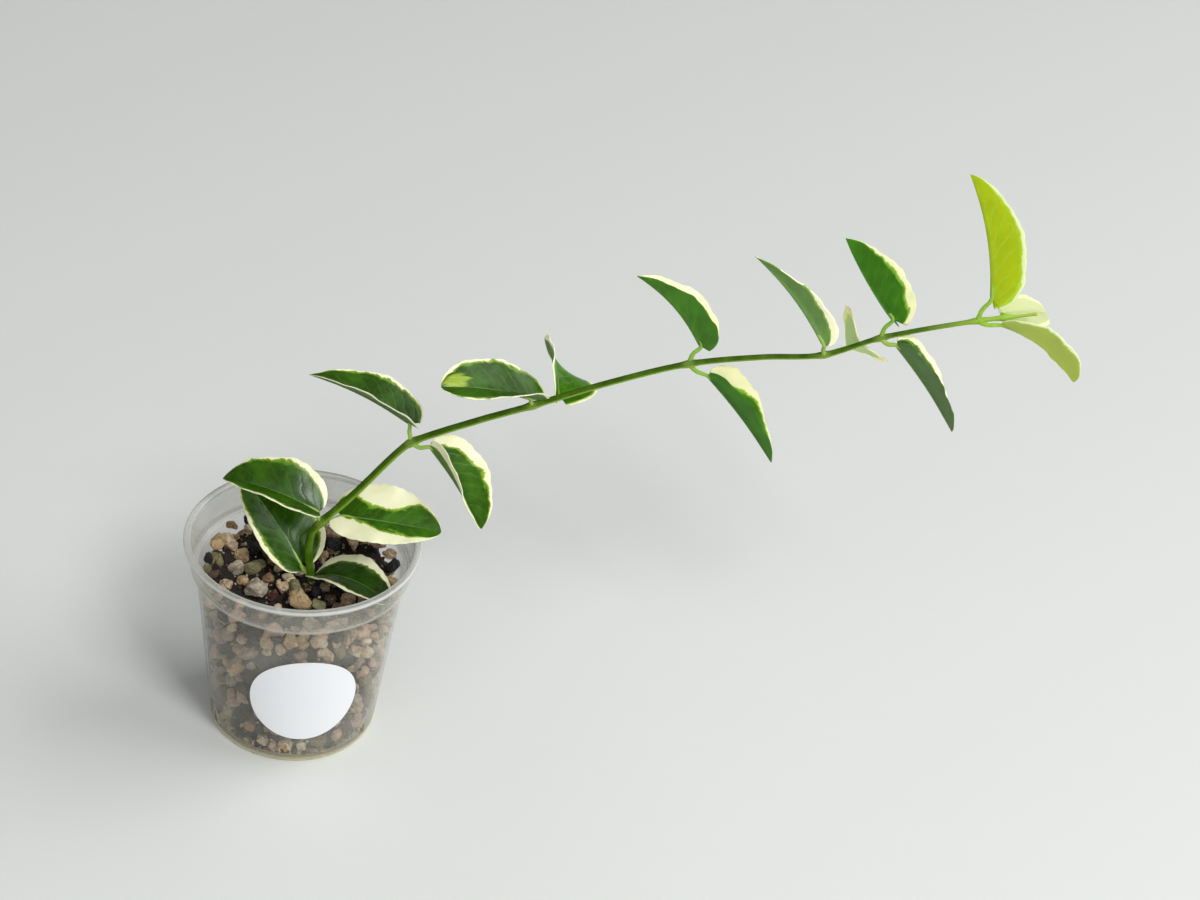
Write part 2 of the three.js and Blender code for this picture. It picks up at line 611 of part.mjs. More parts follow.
addPart('pot', potGeometry(), 0xdfe3e0, 0.25, { transparent: true, opacity: 0.45 });
addPart('label', labelGeometry(), 0xf4f5f3, 0.8);
addPart('potting_mix', mixGeometry(), 0x8d7a5e, 0.9);
addPart('stem', stemGeometry(0), 0x5f9a28, 0.5);
addPart('roots', geometryOf(rootsSolid(0)), 0xd8c9a0, 0.8);
for (const leaf of LEAVES) {
  addPart(leaf.name, leafGeometry(leaf), leaf.age.upper, leaf.age.roughness);
}

export default plant;
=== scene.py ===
"""Potted variegated hoya: a young vine with cream-edged leaves, arching out of a clear nursery pot.

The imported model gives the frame. Lengths are in metres, and the tables of stem points, leaves and
stones say where theirs are in millimetres.
"""

import math

import bmesh
import bpy
import numpy as np
from bpy.props import FloatProperty, FloatVectorProperty, IntProperty, PointerProperty
from bpy.types import Operator, Panel, PropertyGroup
from mathutils import Matrix, Vector


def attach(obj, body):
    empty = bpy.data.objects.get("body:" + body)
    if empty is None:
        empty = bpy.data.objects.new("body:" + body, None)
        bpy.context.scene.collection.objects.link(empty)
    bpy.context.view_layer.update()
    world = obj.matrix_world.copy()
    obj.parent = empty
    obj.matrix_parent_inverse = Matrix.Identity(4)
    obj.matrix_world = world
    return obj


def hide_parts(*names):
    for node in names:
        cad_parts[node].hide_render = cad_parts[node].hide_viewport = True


bl_info = {
    "name": "Potted Variegated Hoya",
    "version": (1, 0, 0),
    "blender": (4, 5, 0),
    "location": "View3D > Sidebar > Hoya",
    "description": "Dresses a potted variegated hoya vine: pot, label, potting mix, stem, roots and leaves",
    "category": "Object",
}

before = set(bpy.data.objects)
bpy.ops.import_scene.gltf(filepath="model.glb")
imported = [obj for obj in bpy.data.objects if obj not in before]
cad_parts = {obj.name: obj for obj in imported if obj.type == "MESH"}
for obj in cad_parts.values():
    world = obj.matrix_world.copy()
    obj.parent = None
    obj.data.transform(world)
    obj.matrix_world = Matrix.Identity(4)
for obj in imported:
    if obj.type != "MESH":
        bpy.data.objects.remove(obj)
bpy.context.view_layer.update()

MM = 0.001
BODY = "root"

# Pot, the same driving sizes as the solid pot
POT_HEIGHT = 71 * MM
POT_BASE_RADIUS = 27 * MM
POT_WALL = 0.9 * MM
POT_FLOOR = 1.2 * MM
COLLAR_BOTTOM = 60 * MM
BODY_TOP_RADIUS = 33.6 * MM
COLLAR_BOTTOM_RADIUS = 34.9 * MM
COLLAR_TOP_RADIUS = 36.6 * MM
LIP_RADIUS = 37.8 * MM
LIP_INNER_RADIUS = 35.6 * MM
LIP_DEPTH = 1.8 * MM
LIP_ROUND = 0.55 * MM
# Middle of the lip's whiter band, partly thick plastic and partly painted highlight, this far under the pot's
# top.
LIP_HIGHLIGHT_DOWN = 0.6 * MM
BEAD_HEIGHT = 0.5 * MM
BEAD_BOTTOM = COLLAR_BOTTOM + 0.25 * MM
BEAD_MIDDLE = BEAD_BOTTOM + BEAD_HEIGHT
COLLAR_STRAIGHT_FROM = COLLAR_BOTTOM + 1.2 * MM
FOOT_RADIUS = 24 * MM
FOOT_RISE = 0.5 * MM
FOOT_ROUND = 1.1 * MM
AXIS_GAP = 0.05 * MM
DRAIN_COUNT = 6
DRAIN_FIRST = math.radians(-86)
DRAIN_BOTTOM = 3.3 * MM
DRAIN_WIDTH = 3 * MM
DRAIN_HEIGHT = 5.2 * MM
DRAIN_SHOULDER = 2.6 * MM
DRAIN_POINT = 1.4
DRAIN_CUT = 4 * MM
RIM_RADIUS = 0.2 * MM
SHARP_EDGE = math.radians(40)

# Label
LABEL_RADIUS = 17.6 * MM
LABEL_CENTRE_HEIGHT = 29 * MM
LABEL_CENTRE_ANGLE = math.radians(-76)
LABEL_LIFT = 0.25 * MM
LABEL_THICKNESS = 0.25 * MM
LABEL_RINGS = 18
LABEL_SPOKES = 96

# Potting mix
MIX_TOP = 53.5 * MM
MIX_WALL_GAP = 0.3 * MM
CORE_DEPTH = 3.6 * MM
CORE_SIDES = 96
CORE_RINGS = 60
CORE_FLOOR_SHARES = (0.3, 0.6, 0.9)
CORE_TOP_SHARES = (0.93, 0.86, 0.78, 0.7, 0.6, 0.5, 0.4, 0.3, 0.2, 0.1)
CORE_FLOOR_UP = 1.2 * MM
CORE_TOP_DOWN = 1.5 * MM
CORE_MIDDLE = 0.2 * MM
CORE_BUMPS = 0.5 * MM
CORE_LIFTS = 0.35 * MM
WALL_HEAP = 6.5 * MM
HEAP_FROM_HEIGHT = 42 * MM
HEAP_FROM_Y = -14 * MM
HEAP_FULL_Y = 6 * MM
MOUND_HEIGHT = 1.2 * MM
MOUND_RATES = (95, 80)
STEM_CLEARANCE = 1.6 * MM

# Vine stem, from its cut end in the mix to the growing tip, its points in mm
STEM_PATH = MM * np.array([
    (3.6, 2, 36), (3.4, 2, 45), (3.05, 2, 55), (1.8, 2, 64.5), (2.7, 2, 73), (5.4, 2, 77.2),
    (14.4, 1.6, 89.2), (28.4, 1.1, 109.8), (31.8, 1, 113.5), (50.9, 0.4, 125.1), (67.8, 0, 134.1),
    (90.2, 0, 146.3), (113.1, 0, 156.9), (133.9, 0.5, 162.4), (152.7, 1, 166), (168.5, 1.6, 174.3),
    (195.7, 3, 183.9), (203.6, 3, 186.3), (212.6, 3, 189),
])
STEM_RADIUS_SOIL = 1.32 * MM
STEM_RADIUS_LAST_NODE = 0.7 * MM
STEM_RADIUS_TIP = 0.45 * MM
NODE_SWELL = 0.35 * MM
NODE_SWELL_LENGTH = 2.0 * MM
NODE_POINTS = [2, 5, 8, 10, 12, 14, 15, 16, 17]

# Roots
ROOT_CROWN_RADIUS = 2.4 * MM
ROOT_CROWN_STRETCH = 1.3
ROOT_RADIUS = 0.8 * MM
ROOT_COUNT = 5
ROOT_REACH = 17 * MM
ROOT_DROP = 24 * MM
ROOT_STEPS = 30
ROOT_VARIATION = 0.2
ROOT_KNEE_REACH = 0.8
ROOT_KNEE_DROP = 0.25

# Leaf blades
BASE_ROUNDNESS = 0.42
BASE_START = 0.004
WAVE_COUNT = 2.5
WAVE_OFFSET = 0.25
TEETH_COUNT = 9.5
TEETH_OFFSET = 0.37
TEETH_DRIFT = 0.35
TEETH_HEIGHT = 0.035
CURL_COUNT = 6.3
CURL_OFFSET = 0.4
CURL_HEIGHT = 0.12 * MM
GUTTER_DEPTH = 0.35 * MM
GUTTER_NARROW = 9
RIB_DEPTH = 0.4 * MM
RIB_NARROW = 14
HALF_THICKNESS = 0.24 * MM
MARGIN_THINNER = 0.12 * MM
END_CROWDING = 0.55
TIP_HALF_WIDTH = 0.25 * MM
PETIOLE_RADIUS_STEM = 0.85 * MM
PETIOLE_RADIUS_BLADE = 0.5 * MM
PETIOLE_INTO_BLADE = 0.16
PETIOLE_BEND_AT = 0.35
PETIOLE_BOW = 1 * MM
PETIOLE_SUNK_AT_FOOT = 0.15 * MM
PETIOLE_SUNK_AT_END = 0.3 * MM
PETIOLE_SLIM_FROM = 0.8
PETIOLE_STEPS = 22
PETIOLE_SIDES = 12
LEAF_SEED_STEP = 0.37

# Each leaf: stem node, blade base, chord from base to tip, way its upper face looks at the base,
# arch over its length, then for its left and right halves (seen from above, tip ahead) the widths,
# upward folds and extra folds at the base, then lobe length behind the base, taper (small is a
# blunt tip), twist and margin wave. Lengths are in mm and angles in degrees. cream_left and
# cream_right are the shares of each half that are cream, at five places from base to tip. light is
# the share of light that the green lets through, pale moves the whole green towards cream, and tone
# paints light and shade onto a whole leaf: below 1 it is painted shade (leaf_c lies in leaf_d's
# shadow) and above 1 painted light on the green, and the cream takes half as much.
# LEAF_USUAL has what a leaf leaves out.
LEAF_USUAL = dict(cups=(0, 0), taper=0.75, twist=0, pale=0, tone=1)
LEAVES = [
    dict(name="leaf_a", node=1, base=(4.2, 1, 81.5), chord=(-31.7, 6, 3.7), up=(0.1, -0.35, 0.9),
         arch=48, widths=(9.5, 12), folds=(40, 20), lobe=1,
         wave=0.5, cream_left=(0.1, 0.1, 0.08, 0.05, 0.03), cream_right=(0.36, 0.2, 0.07, 0.04, 0.02),
         light=0.35, tone=0.82),
    dict(name="leaf_b", node=0, base=(-1, 3.2, 58.7), chord=(-22.6, 16.8, 17.8), up=(0.3, -0.5, 0.8),
         arch=40, widths=(9.5, 13.8), folds=(10, 10), lobe=2.5,
         wave=0.4, cream_left=(0.08, 0.12, 0.14, 0.1, 0.1), cream_right=(0.15, 0.15, 0.2, 0.4, 0.2),
         light=0.12, tone=0.8),
    dict(name="leaf_c", node=0, base=(5.1, -1.4, 57.5), chord=(24.6, -10.3, 1.1), up=(0.1, -0.1, 1),
         arch=75, widths=(10.6, 8.6), folds=(8, 14), cups=(0, 22), lobe=1.5, taper=0.6,
         wave=0.4, cream_left=(0.4, 0.38, 0.3, 0.2, 0.1), cream_right=(0.12, 0.12, 0.12, 0.1, 0.1),
         light=0.3, tone=0.48),
    dict(name="leaf_d", node=1, base=(11.4, 3.6, 79.3), chord=(32.4, -6, 3.5), up=(-0.1, -0.6, 0.8),
         arch=25, widths=(12, 10), folds=(5, 28), lobe=3.2, taper=0.65,
         wave=0.5, cream_left=(0.04, 0.5, 0.68, 0.14, 0.03), cream_right=(0.95, 0.72, 0.55, 0.36, 0.06),
         light=0.5, tone=1.06),
    dict(name="leaf_e", node=2, base=(30.5, 2, 120), chord=(-32.5, 4, 10), up=(0.28, 0.2, 0.93),
         arch=25, widths=(9, 9.6), folds=(28, 40), lobe=3, taper=1,
         wave=0.4, cream_left=(0.22, 0.16, 0.12, 0.08, 0.05), cream_right=(0.12, 0.1, 0.08, 0.06, 0.04),
         light=0.35, tone=0.78),
    dict(name="leaf_f", node=2, base=(38, -1, 114), chord=(18.5, -7, -23.5), up=(0.78, -0.17, 0.6),
         arch=18, widths=(11, 10), folds=(50, 22), cups=(0, 45), lobe=1.5, taper=0.68,
         wave=0.4, cream_left=(0.55, 0.28, 0.17, 0.12, 0.08), cream_right=(0.6, 0.45, 0.3, 0.2, 0.1),
         light=0.5, tone=0.95),
    dict(name="leaf_g", node=3, base=(67.3, -1.5, 137.5), chord=(-27, -12, 8), up=(0.2, -0.3, 0.95),
         arch=30, widths=(7.6, 9.9), folds=(17, 17), cups=(70, 0), lobe=5.5, taper=0.5,
         wave=0.4, cream_left=(0.16, 0.06, 0.04, 0.04, 0.04), cream_right=(0.05, 0.05, 0.05, 0.1, 0.34),
         light=0.45, tone=0.86),
    dict(name="leaf_h", node=3, base=(75, 7.6, 134.2), chord=(-6.8, 17.9, 8.1), up=(0.46, -0.22, 0.86),
         arch=45, widths=(8.9, 14.2), folds=(0, 4), cups=(29, 60), lobe=3.8, twist=-65,
         wave=0.5, cream_left=(0.12, 0.1, 0.12, 0.4, 0.9), cream_right=(0.05, 0.04, 0.03, 0.05, 0.3),
         light=0.4, tone=1.3),
    dict(name="leaf_i", node=4, base=(116, 2, 162.5), chord=(-22, 0.5, 21), up=(0.65, 0.34, 0.68),
         arch=36, widths=(7.8, 11), folds=(54, 26), cups=(5, 40), lobe=2.2, taper=0.95,
         wave=0.4, cream_left=(-0.1, -0.15, -0.2, -0.2, -0.2), cream_right=(0.2, 0.24, 0.34, 0.4, 0.3),
         light=0.8, tone=1.2),
    dict(name="leaf_j", node=4, base=(119.5, 0, 153.5), chord=(22.9, -3.6, -25.8), up=(0.73, 0.3, 0.61),
         arch=15, widths=(8.9, 9), folds=(43, 27), cups=(43, 6), lobe=1.1,
         wave=0.4, cream_left=(1, 0.55, 0.14, 0.16, 0.14), cream_right=(-0.2, -0.2, -0.2, -0.2, -0.2),
         light=0.8, tone=1.15),
    dict(name="leaf_k", node=5, base=(152, -1.5, 171), chord=(-24.3, 5.7, 23.7), up=(0.62, 0.62, 0.48),
         arch=26, widths=(8, 9), folds=(16, 14), cups=(22, 23), lobe=1, taper=0.95,
         wave=0.3, cream_left=(0.45, 0.3, 0.04, 0, 0), cream_right=(0.05, 0.02, 0, 0, 0),
         light=0.25, tone=1.35),
    dict(name="leaf_l", node=5, base=(163, 6, 168.5), chord=(-1.5, 22.5, -16), up=(0.71, 0.4, 0.58),
         arch=20, widths=(12, 10.5), folds=(20, 20), lobe=2,
         wave=0.6, cream_left=(0.3, 0.2, 0.16, 0.16, 0.15), cream_right=(0.3, 0.2, 0.16, 0.16, 0.15),
         light=0.95, pale=0.5, tone=1.25),
    dict(name="leaf_m", node=6, base=(171, 2, 181), chord=(-18, 3, 23.5), up=(0.63, 0.67, 0.4),
         arch=-10, widths=(10.2, 9.8), folds=(56, 27), lobe=4,
         wave=0.3, cream_left=(0.28, 0.18, 0.15, 0.12, 0.05), cream_right=(0.08, 0.06, 0.05, 0.04, 0.03),
         light=1),
    dict(name="leaf_n", node=6, base=(173.5, 0, 173.5), chord=(21.1, -3, -26), up=(0.76, 0.26, 0.59),
         arch=15, widths=(9.1, 9.2), folds=(35, 24), cups=(9, 5), lobe=1,
         wave=0.3, cream_left=(0.3, 0.28, 0.28, 0.28, 0.25), cream_right=(-0.2, -0.2, -0.2, -0.2, -0.2),
         light=0.4, tone=0.92),
    dict(name="leaf_o", node=7, base=(198.5, 3, 192), chord=(-12, 15, 32), up=(0.87, 0.48, 0.1),
         arch=32, widths=(10.4, 10), folds=(49, 56), lobe=3,
         wave=0.3, cream_left=(0.1, 0.1, 0.1, 0.09, 0.07), cream_right=(0.1, 0.1, 0.1, 0.09, 0.07),
         light=1),
    dict(name="leaf_p", node=7, base=(203, 0, 185.5), chord=(23.2, -6.8, -12.1), up=(0.51, 0.58, 0.64),
         arch=45, widths=(8.5, 10.5), folds=(8, 19), cups=(0, -10), lobe=1, taper=0.45,
         wave=0.3, cream_left=(0.1, 0.08, 0.06, 0.06, 0.06), cream_right=(0.1, 0.1, 0.1, 0.1, 0.1),
         light=0.7, pale=0.25, tone=1.12),
    dict(name="leaf_q", node=8, base=(203, 6.6, 185.2), chord=(14.6, 11, -4.6), up=(0.1, -0.45, 0.9),
         arch=35, widths=(5.2, 7.3), folds=(15, 15), lobe=1, taper=0.6,
         wave=0.3, cream_left=(0.2, 0.2, 0.2, 0.2, 0.2), cream_right=(0.2, 0.2, 0.2, 0.2, 0.2),
         light=0.7, pale=0.75),
]
YOUNG_LEAVES = ("leaf_o", "leaf_p", "leaf_q")
THIN_LEAF_LIGHT = 0.6

# Colours of the mix's grains: the place where each starts on the scale of tones, and its colour
GRAIN_TONES = {
    "pale": (0.0, (0.62, 0.52, 0.35)),
    "tan": (0.12, (0.45, 0.32, 0.17)),
    "sand": (0.26, (0.58, 0.43, 0.28)),
    "brown": (0.38, (0.3, 0.19, 0.1)),
    "dust": (0.48, (0.4, 0.35, 0.26)),
    "pink": (0.58, (0.5, 0.34, 0.25)),
    "olive": (0.68, (0.21, 0.19, 0.09)),
    "bark": (0.77, (0.09, 0.055, 0.033)),
    "maroon": (0.84, (0.1, 0.032, 0.024)),
    "charcoal": (0.865, (0.012, 0.012, 0.013)),
}
DARK_TONES_FROM = 0.68
TONE_INSIDE = 0.02

# Shape of the stones: flat cuts' distances from the middle, lumps as (height, rate), roughness of the
# skin, and how far a stone is squeezed
STONE_FLATS = (0.5, 0.84)
STONE_LUMPS = ((0.07, 4), (0.04, 9))
STONE_GRIT = 0.03
STONE_STRETCH = (0.66, 1.0)
STONE_TURN = 6.28
STONE_SHARP = math.radians(38)

# How far a grain reaches from its middle, and how near two grains come, as shares of their sizes
GRAIN_REACH = 0.9
GRAINS_APART = 0.85

# Loose grains on the top, in two layers: lift over the mix, share left out, drop past the soil core.
# Spacings and sizes of grains are multiples of the grain size that a user sets.
TOP_LAYERS = ((-0.3 * MM, 0.08, 0.0), (1.3 * MM, 0.4, 1.5 * MM))
TOP_SPACING = 1.95
TOP_SIZES = (0.58, 1.12)
TOP_JITTER = 0.8 * MM
TOP_UNEVEN = 0.5 * MM

# Grains along the wall, on the pot's floor and in its foot
WALL_SPACING = 1.62
WALL_ROW_STEP = 0.88
WALL_SIZES = (0.6, 1.2)
WALL_INSET = 0.86
WALL_LOWEST = 1.1
WALL_UNEVEN = 0.9 * MM
WALL_TURN = 0.25
WALL_TOP_DOWN = 1.2 * MM
FLOOR_SPACING = 2.5
FLOOR_SIZES = (0.5, 0.9)
FLOOR_JITTER = 0.5 * MM
FLOOR_GRAINS_RADIUS = POT_BASE_RADIUS - 5 * MM
FOOT_GRAINS = 80
FOOT_SIZES = (0.9 * MM, 1.6 * MM)
FOOT_INSET = 1.1

# Crumbs between the grains
CRUMB_DEPTH = 1.6 * MM
CRUMB_SPACING = 2.6 * MM
CRUMB_JITTER = 0.7 * MM
CRUMB_DARK_SHARE = 0.7
TOP_CRUMB_SIZES = (0.35 * MM, 1.0 * MM)
TOP_CRUMB_LIFTS = (-0.9 * MM, 1.0 * MM)
WALL_CRUMBS = 650
WALL_CRUMB_SIZES = (0.35 * MM, 1.1 * MM)

# A stone that stands out is made a little larger than its half size, because its flats take some away.
# On the top it is sunk in the mix, so that its middle lies this share of its half size over it.
STANDING_SIZE = 1.1
STANDING_RISE = 0.45
STANDING_INSET = 0.85

# Stones that stand out on the mix's top: x and y in mm, half size in mm, tone
TOP_STONES = [
    (-29.2, 8.5, 2.9, "tan"), (-25.2, 10.6, 3.5, "sand"), (-26, 17, 1.8, "brown"),
    (-20.7, 1.4, 2.8, "dust"), (-15.2, 2.6, 3.2, "olive"), (-17.6, -4.2, 2.4, "tan"),
    (-12.8, -9, 3.8, "dust"), (-22.8, -8.1, 2.4, "sand"), (-24, -13.6, 1.9, "tan"),
    (1.7, -12.2, 4.3, "tan"), (8.5, -13, 2.8, "olive"), (7.3, 22.9, 3, "pink"), (14, 20.5, 3.1, "sand"),
    (22.5, 19.5, 3.5, "pink"), (26.8, 13.5, 2.2, "sand"), (28.3, 8.6, 2.8, "charcoal"),
    (18.3, 25, 2.3, "charcoal"), (-30, 1.4, 1.9, "charcoal"), (-20.5, 22, 2.4, "charcoal"),
    (-7, -10, 2.3, "maroon"), (-16.4, -23.5, 2.8, "pink"), (-4.8, -28, 3.3, "pink"),
    (-27.6, -4, 2, "bark"),
]

# Stones that stand out against the wall: angle round the pot, height in mm, half size in mm, tone
WALL_STONES = [
    (-101, 46.6, 1.9, "pale"), (-92, 49, 1.7, "sand"), (-78, 51.4, 2, "tan"), (-71, 52.4, 1.7, "sand"),
    (-66, 48.4, 1.9, "pale"), (-58, 51.6, 2.2, "tan"), (-50, 51, 2, "pink"), (-119, 47.7, 2, "pink"),
    (-35, 36.3, 3.7, "dust"), (-32, 18.3, 4, "dust"), (-36, 7, 2.4, "maroon"), (-47, 7.1, 2, "sand"),
    (-60, 5.4, 2.8, "olive"), (-124, 35, 3.2, "tan"), (-123, 20, 3, "sand"), (-86, 4.8, 2.6, "sand"),
    (-115, 9.5, 2.5, "brown"), (-15, 19.2, 2.8, "olive"), (-28, 39.3, 2.8, "pale"),
    (-134, 45, 3, "dust"), (-104, 5.6, 2.3, "pale"), (-75, 5.2, 2.1, "pale"),
    (-104, 38, 3.2, "charcoal"), (-92, 41, 2.8, "charcoal"),
]


# Curves and vectors

def unit(vector):
    """The vector at length one."""
    vector = np.asarray(vector, float)
    return vector / np.linalg.norm(vector)


def smooth_curve(points, steps):
    """Points along a centripetal Catmull-Rom curve through the given ones, evenly spaced."""
    points = [np.asarray(p, float) for p in points]
    padded = [2 * points[0] - points[1]] + points + [2 * points[-1] - points[-2]]
    fine = []
    for p0, p1, p2, p3 in zip(padded, padded[1:], padded[2:], padded[3:]):
        gaps = [math.sqrt(np.linalg.norm(b - a)) for a, b in ((p0, p1), (p1, p2), (p2, p3))]
        slope_in = ((p1 - p0) / gaps[0] - (p2 - p0) / (gaps[0] + gaps[1]) + (p2 - p1) / gaps[1]) * gaps[1]
        slope_out = ((p2 - p1) / gaps[1] - (p3 - p1) / (gaps[1] + gaps[2]) + (p3 - p2) / gaps[2]) * gaps[1]
        for s in np.linspace(0, 1, 40, endpoint=False):
            fine.append(
                (2 * s**3 - 3 * s**2 + 1) * p1 + (s**3 - 2 * s**2 + s) * slope_in
                + (3 * s**2 - 2 * s**3) * p2 + (s**3 - s**2) * slope_out
            )
    fine.append(points[-1])
    fine = np.array(fine)
    lengths = np.concatenate([[0], np.cumsum(np.linalg.norm(np.diff(fine, axis=0), axis=1))])
    even = np.linspace(0, lengths[-1], steps + 1)
    return np.stack([np.interp(even, lengths, fine[:, axis]) for axis in range(3)], axis=1)


def carried_frames(points):
    """Two directions square to a curve at each of its points, turned as little as possible along it."""
    tangents = np.gradient(points, axis=0)
    tangents /= np.linalg.norm(tangents, axis=1)[:, None]
    first = np.cross(tangents[0], (0, 1, 0))
    if np.linalg.norm(first) < 0.1:
        first = np.cross(tangents[0], (1, 0, 0))
    sides = [unit(first)]
    for tangent in tangents[1:]:
        sides.append(unit(sides[-1] - tangent * np.dot(sides[-1], tangent)))
    sides = np.array(sides)
    return sides, np.cross(tangents, sides)


# Meshes

def add_values(mesh, values):
    """Writes float attributes, one number for each vertex."""
    for name, numbers in values.items():
        layer = mesh.attributes.new(name, "FLOAT", "POINT")
        layer.data.foreach_set("value", np.asarray(numbers, np.float32))


def make_object(name, vertices, faces, smooth=True, values=None):
    """A mesh object with optional float attributes."""
    mesh = bpy.data.meshes.new(name)
    mesh.from_pydata([tuple(v) for v in vertices], [], [tuple(f) for f in faces])
    mesh.validate()
    add_values(mesh, values or {})
    mesh.polygons.foreach_set("use_smooth", [smooth] * len(mesh.polygons))
    made = bpy.data.objects.new(name, mesh)
    bpy.context.scene.collection.objects.link(made)
    return made


def fit_piece(piece, material, slot, *nodes):
    """Gives a piece its material and ties it to the frame."""
    piece.data.materials.clear()
    piece.data.materials.append(material)
    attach(piece, BODY)
    if nodes:
        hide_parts(*nodes)


def polar(radius, angle, height):
    """The point at a distance and an angle from the pot's axis."""
    return radius * math.cos(angle), radius * math.sin(angle), height


def grid_faces(rows, columns, wrap=False, start=0, flip=False):
    """Quads of a grid of rows by columns points, whose columns may close into a ring."""
    faces = []
    for i in range(rows - 1):
        for k in range(columns if wrap else columns - 1):
            right = (k + 1) % columns
            quad = [i * columns + k, i * columns + right, (i + 1) * columns + right, (i + 1) * columns + k]
            faces.append([start + v for v in (reversed(quad) if flip else quad)])
    return faces


def rod(points, radii, sides, start=0, flutes=0.0):
    """Points and faces of a rod round a curve, with a closed round end at both sides."""
    side_ways, up_ways = carried_frames(points)
    turn = 2 * math.pi * np.arange(sides) / sides
    shape = 1 + flutes * np.cos(5 * turn)
    ring = side_ways[:, None] * np.cos(turn)[None, :, None] + up_ways[:, None] * np.sin(turn)[None, :, None]
    body = points[:, None] + ring * (np.asarray(radii)[:, None] * shape[None])[..., None]
    vertices = list(body.reshape(-1, 3)) + [points[0], points[-1]]
    faces = grid_faces(len(points), sides, wrap=True, start=start)
    first, last = start + len(points) * sides, start + len(points) * sides + 1
    end = start + (len(points) - 1) * sides
    for k in range(sides):
        after = (k + 1) % sides
        faces.append([first, start + after, start + k])
        faces.append([last, end + k, end + after])
    return vertices, faces


def turned(name, profile, sides):
    """A body turned about +Z from a closed profile of (radius, height) points."""
    vertices = []
    for radius, height in profile:
        vertices += [polar(radius, 2 * math.pi * k / sides, height) for k in range(sides)]
    faces = grid_faces(len(profile), sides, wrap=True)
    last = (len(profile) - 1) * sides
    for k in range(sides):
        after = (k + 1) % sides
        faces.append([last + k, last + after, after, k])
    return make_object(name, vertices, faces)


# Shader helpers

def add_node(tree, kind, settings=None, **inputs):
    """A shader node with its settings. Each input is set or linked by its name, or by its place as in i0."""
    node = tree.nodes.new("ShaderNode" + kind)
    for name, value in (settings or {}).items():
        setattr(node, name, value)
    for name, value in inputs.items():
        place = int(name[1:]) if name[0] == "i" and name[1:].isdigit() else name.replace("_", " ")
        socket = node.inputs[place]
        if isinstance(value, bpy.types.NodeSocket):
            tree.links.new(value, socket)
        else:
            socket.default_value = value
    return node


def maths(tree, operation, *values, clamp=False):
    """The result of a Math node."""
    inputs = {f"i{place}": value for place, value in enumerate(values)}
    return add_node(tree, "Math", {"operation": operation, "use_clamp": clamp}, **inputs).outputs[0]


def times(tree, first, second):
    """The product of two values."""
    return maths(tree, "MULTIPLY", first, second)


def plus(tree, first, second):
    """The sum of two values."""
    return maths(tree, "ADD", first, second)


def minus(tree, first, second):
    """The first value less the second."""
    return maths(tree, "SUBTRACT", first, second)


def remap(tree, value, low, high, to_low=0.0, to_high=1.0):
    """A value moved smoothly from one range to another and held inside it."""
    settings = {"interpolation_type": "SMOOTHSTEP"}
    node = add_node(tree, "MapRange", settings, i0=value, i1=low, i2=high, i3=to_low, i4=to_high)
    return node.outputs[0]


def band(tree, value, middle, near, far):
    """A mask that is 1 nearer to the middle than one distance, and 0 farther than the other."""
    away = maths(tree, "ABSOLUTE", minus(tree, value, middle))
    return remap(tree, away, near, far, 1.0, 0.0)


def join(tree, x, y, z):
    """A place from three values."""
    return add_node(tree, "CombineXYZ", X=x, Y=y, Z=z).outputs[0]


def noise(tree, place, scale, detail=3.0, roughness=0.5):
    """A noise value from 0 to 1."""
    node = add_node(tree, "TexNoise", Vector=place, Scale=scale, Detail=detail, Roughness=roughness)
    return node.outputs["Fac"]


def attribute(tree, name):
    """The value of a mesh attribute."""
    return add_node(tree, "Attribute", {"attribute_name": name}).outputs["Fac"]


def object_place(tree):
    """The place on the object, in metres."""
    return add_node(tree, "TexCoord").outputs["Object"]


def with_alpha(colour):
    """A colour with its alpha. The output of another node passes as it is."""
    return colour if isinstance(colour, bpy.types.NodeSocket) else (*colour, 1)


def blend_colours(tree, share, first, second, blend="MIX"):
    """A colour mix of two colours by a share."""
    settings = {"data_type": "RGBA", "blend_type": blend}
    node = add_node(tree, "Mix", settings, i0=share, i6=with_alpha(first), i7=with_alpha(second))
    return node.outputs[2]


def tinted(tree, colour, by):
    """A colour multiplied by another."""
    return blend_colours(tree, 1.0, colour, by, "MULTIPLY")


def colour_steps(tree, value, steps, interpolation="LINEAR"):
    """A colour ramp from (place, colour) pairs."""
    node = add_node(tree, "ValToRGB", Fac=value)
    ramp = node.color_ramp
    ramp.interpolation = interpolation
    while len(ramp.elements) < len(steps):
        ramp.elements.new(0.5)
    for element, (place, colour) in zip(ramp.elements, steps):
        element.position = place
        element.color = with_alpha(colour)
    return node.outputs["Color"]


def bumped(tree, height, strength, depth):
    """The surface's normal, moved by a height."""
    return add_node(tree, "Bump", Strength=strength, Distance=depth, Height=height).outputs[0]


def principled(tree, colour, rough, **more):
    """A Principled shader. more holds its other inputs."""
    return add_node(tree, "BsdfPrincipled", Base_Color=colour, Roughness=rough, **more)


def new_material(name):
    """An empty node material and its tree."""
    material = bpy.data.materials.new(name)
    material.use_nodes = True
    material.node_tree.nodes.clear()
    return material, material.node_tree


def finished(material, shader):
    """The material with a shader as its surface."""
    output = add_node(material.node_tree, "OutputMaterial")
    material.node_tree.links.new(shader.outputs[0], output.inputs["Surface"])
    return material


def shared_group(name):
    """The node group of this name in SHARED_GROUPS, built when it is first asked for."""
    if name in bpy.data.node_groups:
        return bpy.data.node_groups[name]
    fill, inputs, outputs = SHARED_GROUPS[name]
    group = bpy.data.node_groups.new(name, "ShaderNodeTree")
    for label, default in inputs.items():
        kind = "NodeSocketVector" if default is None else "NodeSocketFloat"
        socket = group.interface.new_socket(label, in_out="INPUT", socket_type=kind)
        if default is not None:
            socket.default_value = default
    for label in outputs:
        group.interface.new_socket(label, in_out="OUTPUT", socket_type="NodeSocketFloat")
    given = group.nodes.new("NodeGroupInput")
    made = group.nodes.new("NodeGroupOutput")
    for label, value in zip(outputs, fill(group, given.outputs)):
        group.links.new(value, made.inputs[label])
    return group


